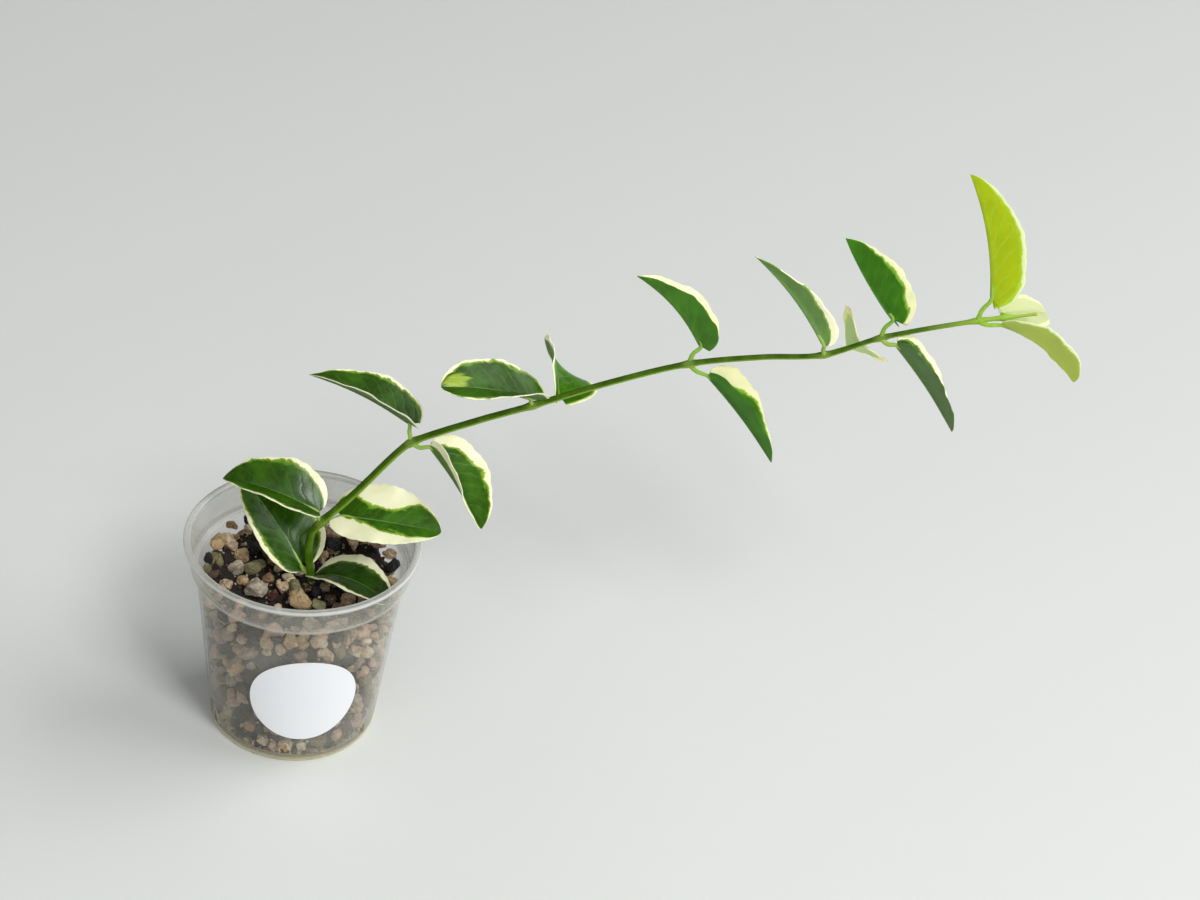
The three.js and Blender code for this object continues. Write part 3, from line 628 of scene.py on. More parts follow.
def use_group(tree, name, **inputs):
    """Outputs of a shared node group that is placed in a tree."""
    return add_node(tree, "Group", {"node_tree": shared_group(name)}, **inputs).outputs


# Shader node groups: each function fills one and gives the values that it puts out

def fill_grit(group, given):
    """Pores and small specks of a rough mineral or paper surface, as a height and a tint."""
    place, scale = given["Place"], given["Scale"]
    fine = noise(group, place, scale, 5.0, 0.65)
    cells = add_node(group, "TexVoronoi", {"feature": "F1"}, Vector=place, Scale=scale)
    pits = minus(group, remap(group, cells.outputs["Distance"], 0.0, 0.45), 1.0)
    height = plus(group, fine, times(group, pits, given["Pores"]))
    broad = noise(group, place, times(group, scale, 0.3))
    tint = plus(group, times(group, fine, 0.5), times(group, broad, 0.5))
    return height, tint


def fill_wax(group, given):
    """Faint unevenness of a waxy plant skin, as a height and a tint."""
    place, scale = given["Place"], given["Scale"]
    cells = noise(group, place, times(group, scale, 2600.0), 2.0)
    ripples = noise(group, place, times(group, scale, 320.0), 2.0)
    clouds = noise(group, place, times(group, scale, 170.0), 4.0, 0.6)
    return plus(group, times(group, cells, 0.12), ripples), clouds


def fill_veins(group, given):
    """A leaf's midrib, its side veins and the skin's swell between them."""
    along, across = given["Along"], given["Across"]
    out = maths(group, "ABSOLUTE", across)
    rib_width = maths(group, "MULTIPLY_ADD", along, -0.03, 0.05)
    midrib = minus(group, 1.0, remap(group, maths(group, "DIVIDE", out, rib_width), 0.2, 1.0))
    wander = times(group, noise(group, join(group, along, across, given["Seed"]), 5.0, 2.0), 0.1)
    slant = times(group, maths(group, "POWER", out, 0.8), -0.3)
    shift = times(group, maths(group, "SIGN", across), 0.03)
    row = plus(group, plus(group, along, slant), plus(group, wander, shift))
    place_in_row = maths(group, "FRACT", times(group, row, given["Pairs"]))
    from_line = maths(group, "ABSOLUTE", minus(group, place_in_row, 0.5))
    line = minus(group, 1.0, remap(group, from_line, 0.0, 0.16))
    fade = remap(group, out, 0.55, 0.95, 1.0, 0.0)
    hill = maths(group, "SINE", times(group, from_line, math.pi))
    return midrib, times(group, line, fade), times(group, hill, fade)


def fill_variegation(group, given):
    """Masks of a leaf's cream margin, of the paler green patches in it and of the lime line between."""
    across = given["Across"]
    seed = plus(group, given["Seed"], times(group, maths(group, "SIGN", across), 3.1))
    out = maths(group, "ABSOLUTE", across)
    slanted = plus(group, given["Along"], times(group, out, -0.22))
    teeth_place = join(group, slanted, times(group, out, 0.15), seed)
    coarse = minus(group, noise(group, teeth_place, 7.0, 1.0), 0.5)
    fine = minus(group, noise(group, teeth_place, 24.0, 2.0, 0.6), 0.5)
    jitter = times(group, plus(group, coarse, times(group, fine, 0.7)), given["Teeth"])
    field = plus(group, given["Green Margin"], times(group, jitter, 2.0))
    cream = remap(group, field, -0.015, 0.015, 1.0, 0.0)
    patches = minus(group, noise(group, join(group, slanted, across, seed), 6.0, 3.0, 0.6), 0.5)
    inner = minus(group, field, maths(group, "MULTIPLY_ADD", patches, 0.9, 0.03))
    pale = remap(group, inner, -0.02, 0.04, 1.0, 0.0)
    return cream, pale, band(group, field, 0.0, 0.01, 0.11)


# What fills each group, its inputs with their defaults (None is a place), and its outputs
SHARED_GROUPS = {
    "Grit": (fill_grit, {"Place": None, "Scale": 900.0, "Pores": 0.5}, ("Height", "Tint")),
    "Waxy Skin": (fill_wax, {"Place": None, "Scale": 1.0}, ("Height", "Tint")),
    "Leaf Veins": (
        fill_veins, {"Along": 0.0, "Across": 0.0, "Seed": 0.0, "Pairs": 8.0},
        ("Midrib", "Veins", "Quilting"),
    ),
    "Variegation": (
        fill_variegation, {"Along": 0.0, "Across": 0.0, "Green Margin": 0.0, "Seed": 0.0, "Teeth": 0.12},
        ("Cream", "Pale Green", "Edge"),
    ),
}


# Materials

def plastic_material(settings):
    """Milky clear plastic, thick and white at the lip and bead and whiter seen edge on, with a painted lip
    highlight and a painted warm glow in the foot.
    """
    material, tree = new_material("milky_clear_plastic")
    place = object_place(tree)
    height = attribute(tree, "height")
    cloud = noise(tree, place, 45.0)
    ripple = noise(tree, place, 130.0, 2.0)
    # The lip band is whiter and more opaque: partly the thick plastic of the lip, partly a painted highlight
    # along its outer round.
    lip = band(tree, height, POT_HEIGHT - LIP_HIGHLIGHT_DOWN, 0.2 * MM, 0.85 * MM)
    bead = band(tree, height, BEAD_MIDDLE, 0.3 * MM, 1.5 * MM)
    collar = remap(tree, height, BEAD_MIDDLE, BEAD_MIDDLE + 1.5 * MM)
    # Painted warm glow: near the foot the plastic turns towards the glow colour and hides more, standing in
    # for light gathered there.
    foot = remap(tree, height, 0.8 * MM, 3.5 * MM, 1.0, 0.0)
    milky = blend_colours(tree, foot, settings.colour, settings.foot_glow_colour)
    milky = blend_colours(tree, lip, milky, settings.lip_colour)
    facing = add_node(tree, "LayerWeight", Blend=0.5).outputs["Facing"]
    edge_on = remap(tree, facing, 0.45, 1.0, 0.0, 0.35)
    haze = remap(tree, cloud, 0.3, 0.75, settings.milkiness * 0.6, settings.milkiness * 1.5)
    for mask, amount in ((collar, 0.13), (foot, 0.35), (bead, 0.33), (lip, 0.55)):
        haze = plus(tree, haze, times(tree, mask, amount))
    alpha = maths(tree, "ADD", haze, edge_on, clamp=True)
    shader = principled(
        tree, milky, remap(tree, cloud, 0.3, 0.7, 0.22, 0.32), Alpha=alpha,
        Normal=bumped(tree, ripple, 0.1, 0.4 * MM), Coat_Weight=0.3, Coat_Roughness=0.12, IOR=1.49,
    )
    return finished(material, shader)


def rim_material(settings):
    """Thicker milky plastic of the drain rims, mottled between the lip colour and the painted warm glow of
    the foot.
    """
    material, tree = new_material("milky_rim_plastic")
    cloud = noise(tree, object_place(tree), 300.0, 2.0)
    shade = blend_colours(tree, remap(tree, cloud, 0.3, 0.7), settings.foot_glow_colour, settings.lip_colour)
    alpha = remap(tree, cloud, 0.3, 0.7, 0.25, 0.5)
    return finished(material, principled(tree, shade, 0.3, Alpha=alpha, IOR=1.49))


def paper_material(settings):
    """Matt white paper with faint fibres."""
    material, tree = new_material("label_paper")
    grit = use_group(tree, "Grit", Place=object_place(tree), Scale=1500.0, Pores=0.1)
    colour = blend_colours(tree, times(tree, grit["Tint"], 0.12), settings.colour, (0.55, 0.57, 0.6))
    rough = remap(tree, grit["Tint"], 0.2, 0.8, 0.5, 0.68)
    normal = bumped(tree, grit["Height"], 0.15, 0.08 * MM)
    return finished(material, principled(tree, colour, rough, Normal=normal))


def stone_material(settings):
    """Pumice, bark and charcoal: each grain's tone picks its colour."""
    material, tree = new_material("mix_grains")
    place = object_place(tree)
    grit = use_group(tree, "Grit", Place=place, Scale=850.0, Pores=0.9)
    plain = colour_steps(tree, attribute(tree, "tone"), list(GRAIN_TONES.values()), "CONSTANT")
    plain = tinted(tree, plain, settings.tint)
    stains = remap(tree, noise(tree, place, 260.0), 0.42, 0.62, 0.0, 0.45)
    plain = blend_colours(tree, stains, plain, (0.3, 0.25, 0.17), "MULTIPLY")
    shade = remap(tree, grit["Tint"], 0.3, 0.72, 0.55, 1.35)
    dusty = add_node(tree, "HueSaturation", Value=shade, Color=plain).outputs[0]
    rough = remap(tree, grit["Tint"], 0.2, 0.8, 0.75, 0.95)
    normal = bumped(tree, grit["Height"], 0.8, 0.6 * MM)
    return finished(material, principled(tree, dusty, rough, Normal=normal))


def soil_material(settings):
    """Dark fine soil between the grains."""
    material, tree = new_material("dark_soil")
    grit = use_group(tree, "Grit", Place=object_place(tree), Scale=1200.0, Pores=0.8)
    steps = [(0.3, (0.006, 0.005, 0.004)), (0.55, (0.022, 0.015, 0.01)), (0.75, (0.08, 0.055, 0.035))]
    colour = tinted(tree, colour_steps(tree, grit["Tint"], steps), settings.tint)
    normal = bumped(tree, grit["Height"], 1.0, 0.5 * MM)
    return finished(material, principled(tree, colour, 0.92, Normal=normal))


def stem_material(settings):
    """Green stem skin, darker where it looks up, and paler at the leaf nodes and the growing tip."""
    material, tree = new_material("stem_skin")
    wax = use_group(tree, "Waxy Skin", Place=object_place(tree), Scale=1.5)
    along = attribute(tree, "along")
    skin = blend_colours(tree, remap(tree, along, 0.0, 0.25), (0.11, 0.25, 0.006), settings.under_colour)
    looks_up = remap(tree, attribute(tree, "looks_up"), 0.32, 0.58)
    skin = blend_colours(tree, looks_up, skin, settings.upper_colour)
    node = remap(tree, attribute(tree, "swelling"), 0.0, 1.0, 0.0, 0.35)
    skin = blend_colours(tree, node, skin, (0.3, 0.42, 0.09))
    skin = blend_colours(tree, remap(tree, along, 0.86, 0.97), skin, (0.3, 0.46, 0.06))
    skin = blend_colours(tree, remap(tree, wax["Tint"], 0.35, 0.75, 0.0, 0.25), skin, (0.2, 0.36, 0.04))
    rough = remap(tree, wax["Tint"], 0.2, 0.8, 0.5, 0.65)
    normal = bumped(tree, wax["Height"], 0.25, 0.2 * MM)
    return finished(material, principled(tree, skin, rough, Normal=normal, Specular_IOR_Level=0.08))


def root_material():
    """Pale matt roots."""
    material, tree = new_material("root_skin")
    wax = use_group(tree, "Waxy Skin", Place=object_place(tree), Scale=2.0)
    colour = colour_steps(tree, wax["Tint"], [(0.3, (0.42, 0.3, 0.16)), (0.7, (0.78, 0.68, 0.47))])
    normal = bumped(tree, wax["Height"], 0.5, 0.3 * MM)
    return finished(material, principled(tree, colour, 0.75, Normal=normal))


def leaf_material(name, ink, vein_show, light_share, gloss):
    """Waxy leaf with cream margins, lit from both sides, with each leaf's painted light and shade from its
    tone. ink holds its named colours.
    """
    material, tree = new_material(name)
    along = attribute(tree, "along")
    across = attribute(tree, "across")
    seed = attribute(tree, "leaf_seed")
    under = attribute(tree, "underside")
    stalk = attribute(tree, "stalk")
    light = attribute(tree, "light_through")
    paleness = attribute(tree, "paleness")
    tone = attribute(tree, "tone")
    margin = attribute(tree, "green_margin")
    wax = use_group(tree, "Waxy Skin", Place=object_place(tree), Scale=1.0)
    veins = use_group(tree, "Leaf Veins", Along=along, Across=across, Seed=seed)
    pattern = use_group(
        tree, "Variegation", Along=along, Across=across, Green_Margin=margin, Seed=seed, Teeth=0.12)
    clouds, lines, creamy = wax["Tint"], veins["Veins"], pattern["Cream"]

    green = blend_colours(tree, remap(tree, clouds, 0.35, 0.7), ink["deep"], ink["green"])
    green = blend_colours(tree, times(tree, pattern["Pale Green"], 0.8), green, ink["pale"])
    green = blend_colours(tree, times(tree, lines, vein_show), green, ink["pale"])
    streaks = noise(tree, join(tree, times(tree, along, 0.35), across, seed), 8.0, 3.0, 0.6)
    patch = plus(tree, attribute(tree, "yellow"), times(tree, streaks, 1.2))
    lime_line = times(tree, pattern["Edge"], 0.7)
    yellow = maths(tree, "MAXIMUM", remap(tree, patch, 0.95, 1.3, 0.0, 0.85), lime_line)
    green = blend_colours(tree, yellow, green, ink["yellow"])
    # Painted light and shade: each leaf's tone lightens or darkens its green for the light that falls on it.
    green = tinted(tree, blend_colours(tree, paleness, green, ink["cream"]), tone)

    cream = blend_colours(tree, remap(tree, clouds, 0.4, 0.8, 0.0, 0.22), ink["cream"], ink["yellow"])
    face = blend_colours(tree, creamy, green, cream)
    face = blend_colours(tree, times(tree, veins["Midrib"], 0.5), face, ink["rib"])
    bloom = times(tree, under, maths(tree, "MULTIPLY_ADD", light, -0.6, 0.6))
    bloom = times(tree, bloom, minus(tree, 1.0, creamy))
    face = blend_colours(tree, bloom, face, ink["under"])
    # Painted light and shade again: the cream takes half of the leaf's tone.
    face = tinted(tree, face, maths(tree, "MULTIPLY_ADD", tone, 0.5, 0.5))
    face = blend_colours(tree, stalk, face, ink["stalk"])

    through = blend_colours(tree, yellow, ink["through"], ink["yellow_through"])
    through = blend_colours(tree, times(tree, lines, 0.35), through, ink["yellow_through"])
    through = blend_colours(tree, paleness, through, ink["cream_through"])
    through = blend_colours(tree, minus(tree, 1.0, light), through, (0.0, 0.0, 0.0))
    through = blend_colours(tree, creamy, through, ink["cream_through"])
    through = blend_colours(tree, stalk, through, ink["yellow_through"])

    relief = minus(tree, times(tree, wax["Height"], 0.25), times(tree, lines, 0.08))
    relief = plus(tree, relief, times(tree, veins["Quilting"], 0.13))
    normal = bumped(tree, relief, 0.42, 0.5 * MM)
    rough = remap(tree, clouds, 0.25, 0.8, gloss, gloss + 0.12)
    rough = plus(tree, rough, times(tree, under, 0.22))
    skin = principled(tree, face, rough, Normal=normal, Specular_IOR_Level=0.25)
    lit = add_node(tree, "BsdfTranslucent", Color=through, Normal=normal)
    return finished(
        material, add_node(tree, "MixShader", i0=light_share, i1=skin.outputs[0], i2=lit.outputs[0]))


def floor_material(settings):
    """Pale painted floor with a faint uneven coat."""
    material, tree = new_material("pale_floor")
    place = object_place(tree)
    stretched = add_node(tree, "Mapping", Vector=place, Scale=(0.25, 1.0, 1.0)).outputs[0]
    brush = noise(tree, stretched, 60.0, 5.0, 0.6)
    clouds = noise(tree, place, 3.0, 2.0)
    shade = plus(tree, times(tree, brush, 0.06), times(tree, clouds, 0.08))
    colour = blend_colours(tree, shade, settings.floor_colour, (0.48, 0.495, 0.485))
    normal = bumped(tree, brush, 0.2, 0.4 * MM)
    return finished(material, principled(tree, colour, 0.6, Normal=normal))


# Pot

def body_radius(height):
    """Radius of the pot body's outside below the collar."""
    return POT_BASE_RADIUS + (BODY_TOP_RADIUS - POT_BASE_RADIUS) * height / COLLAR_BOTTOM


def arc(radius, height, size, start, end, count):
    """Points of an arc round a middle, as (radius, height). Its angles are in degrees from straight out."""
    turns = np.radians(np.linspace(start, end, count))
    return [(radius + size * math.cos(turn), height + size * math.sin(turn)) for turn in turns]


def pot_profile():
    """Closed profile of the pot's wall and floor, as (radius, height) from the axis and back to it."""
    lip_bottom = POT_HEIGHT - LIP_DEPTH
    lip_top_round = POT_HEIGHT - LIP_ROUND
    profile = [(AXIS_GAP, FOOT_RISE), (FOOT_RADIUS - MM, FOOT_RISE), (FOOT_RADIUS, 0)]
    profile += arc(POT_BASE_RADIUS - FOOT_ROUND, FOOT_ROUND, FOOT_ROUND, -90, 0, 5)
    profile += [(body_radius(height), height) for height in np.linspace(4 * MM, COLLAR_BOTTOM - MM, 14)]
    profile += [
        (BODY_TOP_RADIUS, COLLAR_BOTTOM),
        (COLLAR_BOTTOM_RADIUS + 0.2 * MM, BEAD_BOTTOM),
        (COLLAR_BOTTOM_RADIUS + 0.35 * MM, BEAD_MIDDLE),
        (COLLAR_BOTTOM_RADIUS + 0.12 * MM, BEAD_MIDDLE + BEAD_HEIGHT),
    ]
    for share in np.linspace(0.2, 1, 5):
        radius = COLLAR_BOTTOM_RADIUS + (COLLAR_TOP_RADIUS - COLLAR_BOTTOM_RADIUS) * share
        profile.append((radius, COLLAR_STRAIGHT_FROM + (lip_bottom - COLLAR_STRAIGHT_FROM) * share))
    profile += arc(LIP_RADIUS - LIP_ROUND, lip_bottom + LIP_ROUND, LIP_ROUND, -90, 0, 4)
    profile += arc(LIP_RADIUS - LIP_ROUND, lip_top_round, LIP_ROUND, 0, 90, 4)
    profile += arc(LIP_INNER_RADIUS + LIP_ROUND, lip_top_round, LIP_ROUND, 90, 180, 4)
    profile += [
        (COLLAR_BOTTOM_RADIUS - POT_WALL, COLLAR_BOTTOM + 0.9 * MM),
        (BODY_TOP_RADIUS - POT_WALL, COLLAR_BOTTOM - 0.2 * MM),
    ]
    for height in np.linspace(COLLAR_BOTTOM - 2 * MM, POT_FLOOR + 2 * MM, 10):
        profile.append((body_radius(height) - POT_WALL, height))
    floor_radius = body_radius(POT_FLOOR) - POT_WALL
    profile += [
        (floor_radius - 0.6 * MM, POT_FLOOR + 0.3 * MM),
        (floor_radius - 1.6 * MM, POT_FLOOR),
        (AXIS_GAP, POT_FLOOR),
    ]
    return profile


def drain_angles():
    """Where the drain holes stand round the pot."""
    return [DRAIN_FIRST + 2 * math.pi * i / DRAIN_COUNT for i in range(DRAIN_COUNT)]


def pointed_arch(half_width, height, steps):
    """Outline of a drain hole, from its left foot over its point to its right foot."""
    points = [(-half_width, 0)]
    for share in np.linspace(-1, 1, 2 * steps + 1):
        rise = 1 - abs(share)
        reach = math.copysign(half_width * (1 - rise**DRAIN_POINT), share)
        points.append((reach, DRAIN_SHOULDER + (height - DRAIN_SHOULDER) * rise))
    return points + [(half_width, 0)]


def drain_cutter():
    """Prisms with a pointed arch's outline, standing through the wall all round its foot."""
    outline = pointed_arch(DRAIN_WIDTH / 2, DRAIN_HEIGHT, 6)[::-1]
    count = len(outline)
    vertices, faces = [], []
    for angle in drain_angles():
        out = np.array(polar(1, angle, 0))
        side = np.array((-math.sin(angle), math.cos(angle), 0))
        start = len(vertices)
        for reach in (POT_BASE_RADIUS - DRAIN_CUT, POT_BASE_RADIUS + DRAIN_CUT):
            for x, y in outline:
                vertices.append(out * reach + side * x + np.array((0, 0, DRAIN_BOTTOM + y)))
        faces.append([start + k for k in reversed(range(count))])
        faces.append([start + count + k for k in range(count)])
        faces += grid_faces(2, count, wrap=True, start=start)
    return make_object("drain_cutter", vertices, faces, smooth=False)


def drain_rims():
    """Raised plastic rims that frame the drain holes on the wall's outside."""
    outline = pointed_arch(DRAIN_WIDTH / 2 + RIM_RADIUS, DRAIN_HEIGHT + RIM_RADIUS, 10)
    vertices, faces = [], []
    for middle in drain_angles():
        points = []
        for across, up in outline:
            radius = body_radius(DRAIN_BOTTOM + up)
            points.append(polar(radius, middle + across / radius, DRAIN_BOTTOM + up))
        rim_vertices, rim_faces = rod(np.array(points), [RIM_RADIUS] * len(points), 8, start=len(vertices))
        vertices += rim_vertices
        faces += rim_faces
    return make_object("drain_rims", vertices, faces)


def cut_away(piece, cutter):
    """Takes the cutter's space out of the piece and removes the cutter."""
    modifier = piece.modifiers.new("cut", "BOOLEAN")
    modifier.operation = "DIFFERENCE"
    modifier.solver = "EXACT"
    modifier.object = cutter
    graph = bpy.context.evaluated_depsgraph_get()
    graph.update()
    cut_mesh = bpy.data.meshes.new_from_object(piece.evaluated_get(graph))
    piece.modifiers.clear()
    piece.data = cut_mesh
    bpy.data.objects.remove(cutter)


def weld(piece, distance):
    """Joins vertices that lie together and turns all faces outwards."""
    work = bmesh.new()
    work.from_mesh(piece.data)
    bmesh.ops.remove_doubles(work, verts=work.verts, dist=distance)
    bmesh.ops.recalc_face_normals(work, faces=work.faces)
    work.to_mesh(piece.data)
    work.free()


# Label

def label_mesh():
    """Round paper label bent round the tapered wall."""
    vertices = []
    for lift in (LABEL_LIFT, LABEL_LIFT + LABEL_THICKNESS):
        for ring in range(LABEL_RINGS + 1):
            for k in range(LABEL_SPOKES):
                across, up, _ = polar(LABEL_RADIUS * ring / LABEL_RINGS, 2 * math.pi * k / LABEL_SPOKES, 0)
                height = LABEL_CENTRE_HEIGHT + up
                radius = body_radius(height)
                vertices.append(polar(radius + lift, LABEL_CENTRE_ANGLE + across / radius, height))
    layer = (LABEL_RINGS + 1) * LABEL_SPOKES
    faces = grid_faces(LABEL_RINGS + 1, LABEL_SPOKES, wrap=True)
    faces += grid_faces(LABEL_RINGS + 1, LABEL_SPOKES, wrap=True, start=layer, flip=True)
    rim = LABEL_RINGS * LABEL_SPOKES
    for k in range(LABEL_SPOKES):
        after = (k + 1) % LABEL_SPOKES
        faces.append([rim + k, rim + after, layer + rim + after, layer + rim + k])
    made = make_object("label_disc", vertices, faces)
    weld(made, 0.01 * MM)
    return made


# Potting mix

def ball(divisions):
    """Directions and triangles of an even ball."""
    work = bmesh.new()
    bmesh.ops.create_icosphere(work, subdivisions=divisions, radius=1.0)
    directions = np.array([v.co[:] for v in work.verts])
    triangles = np.array([[v.index for v in f.verts] for f in work.faces])
    work.free()
    return directions, triangles


def stones(name, grains, tones, rng, divisions, cuts=9):
    """Angular stones from (place, size) pairs: each is a ball cut flat by planes, stretched and turned."""
    directions, triangles = ball(divisions)
    vertices, faces, tone_values = [], [], []
    for (place, size), tone in zip(grains, tones):
        planes = rng.normal(size=(cuts, 3))
        planes /= np.linalg.norm(planes, axis=1)[:, None]
        offsets = rng.uniform(*STONE_FLATS, cuts)
        facing = directions @ planes.T
        reach = np.where(facing > 0.05, offsets / np.maximum(facing, 0.05), 9.0)
        radius = np.minimum(1.0, reach.min(axis=1))
        for amount, rate in STONE_LUMPS:
            radius *= 1 + amount * np.sin(directions @ rng.normal(size=3) * rate + rng.uniform(0, STONE_TURN))
        radius *= 1 + STONE_GRIT * rng.normal(size=len(radius)).clip(-1.5, 1.5)
        stretch = rng.uniform(*STONE_STRETCH, 3)
        stretch[0] = 1.0
        turn = np.array(Matrix.Rotation(rng.uniform(0, STONE_TURN), 3, unit(rng.normal(size=3))))
        start = len(vertices)
        vertices.extend((directions * radius[:, None] * stretch) @ turn.T * size + place)
        faces.extend(triangles + start)
        tone_values.extend([tone] * len(directions))
    made = make_object(name, vertices, faces, values={"tone": tone_values})
    made.data.set_sharp_from_angle(angle=STONE_SHARP)
    return made


def pick_tones(rng, count, dark_share):
    """Random grain tones: mostly tan pumice, the rest bark, reddish bits and charcoal."""
    light = rng.uniform(0, DARK_TONES_FROM, count)
    dark = rng.uniform(DARK_TONES_FROM, 1, count)
    return list(np.where(rng.uniform(size=count) < dark_share, dark, light))


def tone_value(name):
    """Place of a named tone on the scale of tones."""
    return GRAIN_TONES[name][0] + TONE_INSIDE


def mix_radius(height):
    """How far the mix reaches from the pot's axis at a height."""
    return body_radius(height) - POT_WALL - MIX_WALL_GAP


def wall_place(angle, height, inset):
    """The place at an angle and a height that lies this far in from the mix's outside."""
    return polar(mix_radius(height) - inset, angle, height)


def over_core(x, y):
    """Whether a place on the mix's top lies over the soil core, inside the ring of wall grains."""
    return math.hypot(x, y) <= body_radius(MIX_TOP) - POT_WALL - CORE_DEPTH


def wall_heap(x, y):
    """How far the mix is heaped up towards the wall at the back and the sides."""
    back = min(1.0, max(0.0, (y - HEAP_FROM_Y) / (HEAP_FULL_Y - HEAP_FROM_Y)))
    return WALL_HEAP * back * (math.hypot(x, y) / body_radius(MIX_TOP)) ** 4


def mix_surface(x, y):
    """Height of the mix's uneven top."""
    mound = MOUND_HEIGHT * math.sin(x * MOUND_RATES[0] + 1) * math.cos(y * MOUND_RATES[1])
    return MIX_TOP + mound + wall_heap(x, y)


def scatter_on_top(rng, spacing, jitter):
    """Places over the top of the mix on a loose hexagonal layout."""
    limit = mix_radius(MIX_TOP)
    row_step = spacing * 0.87
    places = []
    for i in range(int(2 * limit / row_step) + 2):
        for k in range(int(2 * limit / spacing) + 2):
            x = (k + 0.5 * (i % 2)) * spacing - limit + rng.normal() * jitter
            y = i * row_step - limit + rng.normal() * jitter
            places.append((x, y))
    return [place for place in places if math.hypot(*place) < limit]


def held_inside(x, y, height, size):
    """The place moved inwards where a grain of this size would reach through the wall."""
    reach = math.hypot(x, y)
    share = min(1.0, (mix_radius(height) - size * GRAIN_REACH) / reach) if reach else 1.0
    return x * share, y * share


def clear_of_stones(place, size, standing):
    """Whether a grain lies clear of the stones that stand out, given as (place, half size, tone)."""
    for other, reach, _ in standing:
        if math.dist(place[:len(other)], other) < GRAINS_APART * (size + reach):
            return False
    return True


def clear_of_stem(x, y, size):
    """Whether a grain leaves the stem's foot free."""
    foot = STEM_PATH[2]
    return math.hypot(x - foot[0], y - foot[1]) > size + STEM_CLEARANCE


# Stem

def stem_radius(point):
    """Stem radius at a place, with a swelling at each node and a slim growing tip."""
    first, last_node, tip = STEM_PATH[0], STEM_PATH[NODE_POINTS[-1]], STEM_PATH[-1]
    share = min(1.0, np.linalg.norm(point - first) / np.linalg.norm(last_node - first))
    radius = STEM_RADIUS_SOIL + (STEM_RADIUS_LAST_NODE - STEM_RADIUS_SOIL) * share
    if point[0] > last_node[0]:
        beyond = min(1.0, 2 * np.linalg.norm(point - last_node) / np.linalg.norm(tip - last_node))
        radius = STEM_RADIUS_LAST_NODE + (STEM_RADIUS_TIP - STEM_RADIUS_LAST_NODE) * beyond
    return radius + NODE_SWELL * node_swelling(point)


def node_swelling(point):
    """1 at a leaf node of the stem, falling to 0 away from it."""
    away = [np.linalg.norm(point - STEM_PATH[i]) for i in NODE_POINTS[1:]]
    return sum(math.exp(-(a / NODE_SWELL_LENGTH) ** 2) for a in away)


# Leaves

def blade_outline(t, taper):
    """Share of the full half width at a place from base (0) to tip (1)."""
    s = BASE_START + (1 - BASE_START) * t
    widest = BASE_ROUNDNESS / (BASE_ROUNDNESS + taper)
    peak = widest**BASE_ROUNDNESS * (1 - widest) ** taper
    return s**BASE_ROUNDNESS * max(0.0, 1 - s) ** taper / peak


def blade_frame(leaf, t):
    """Midrib point, tangent, side and normal at a place from base (0) to tip (1)."""
    base = np.array(leaf["base"]) * MM
    chord = np.array(leaf["chord"]) * MM
    length = np.linalg.norm(chord)
    ahead = chord / length
    up = np.array(leaf["up"], float)
    up = unit(up - ahead * np.dot(up, ahead))
    side = np.cross(ahead, up)
    arch = math.radians(leaf["arch"])
    radius = length / (2 * math.sin(arch / 2))
    angle = arch * t - arch / 2
    point = base + ahead * radius * (math.sin(arch / 2) + math.sin(angle))
    point = point + up * radius * (math.cos(angle) - math.cos(arch / 2))
    tangent = ahead * math.cos(angle) - up * math.sin(angle)
    normal = up * math.cos(angle) + ahead * math.sin(angle)
    twist = math.radians(leaf["twist"]) * math.sqrt(t)
    side_now = side * math.cos(twist) + normal * math.sin(twist)
    normal_now = normal * math.cos(twist) - side * math.sin(twist)
    return point, tangent, side_now, normal_now


def margin_teeth(t, half, seed):
    """Small shallow teeth of the leaf margin, as a share of the half width."""
    turns = TEETH_COUNT * t + TEETH_OFFSET * half + seed
    drift = TEETH_DRIFT * math.sin(5.3 * t + seed * 3)
    tooth = abs(math.sin(math.pi * (turns + drift)))
    return TEETH_HEIGHT * (tooth**0.6 - 0.7) * min(1.0, 6 * t) * min(1.0, 5 * (1 - t))


def blade_point(leaf, t, u, seed):
    """Middle surface of the blade: t from base to tip, u from left margin (-1) to right (1)."""
    point, tangent, side, normal = blade_frame(leaf, t)
    half = 0 if u < 0 else 1
    outline = blade_outline(t, leaf["taper"])
    width = leaf["widths"][half] * MM * outline * (1 + margin_teeth(t, half, seed) * abs(u))
    width = max(TIP_HALF_WIDTH, width)
    fold = math.radians(leaf["folds"][half] + leaf["cups"][half] * (1 - t) ** 2)
    out = abs(u)
    turns = WAVE_COUNT * t + WAVE_OFFSET * half
    wave = leaf["wave"] * MM * math.sin(2 * math.pi * turns) * out**3 * outline
    curl_turns = CURL_COUNT * t + CURL_OFFSET * half + seed
    curl = CURL_HEIGHT * math.sin(2 * math.pi * curl_turns) * out**4 * outline
    gutter = GUTTER_DEPTH * math.exp(-((out * GUTTER_NARROW) ** 2)) * outline
    point = point + side * u * width * math.cos(fold)
    point = point + normal * (out * width * math.sin(fold) + wave + curl - gutter)
    return point - tangent * leaf["lobe"] * MM * (1 - t) ** 3 * out


def blade_thickness(t, u):
    """Half thickness of the blade: thicker along the midrib, thin at the margin."""
    return (HALF_THICKNESS - MARGIN_THINNER * abs(u) ** 3) * min(1.0, 0.5 + 3 * (1 - t))


def rib_height(t, u):
    """Height of the midrib's ridge under the blade."""
    return RIB_DEPTH * (1 - t) ** 0.8 * math.exp(-((u * RIB_NARROW) ** 2))


def cream_share(leaf, t, u):
    """Share of the half width that is cream at a place along the blade."""
    stations = leaf["cream_left"] if u < 0 else leaf["cream_right"]
    return float(np.interp(t, np.linspace(0, 1, len(stations)), stations))


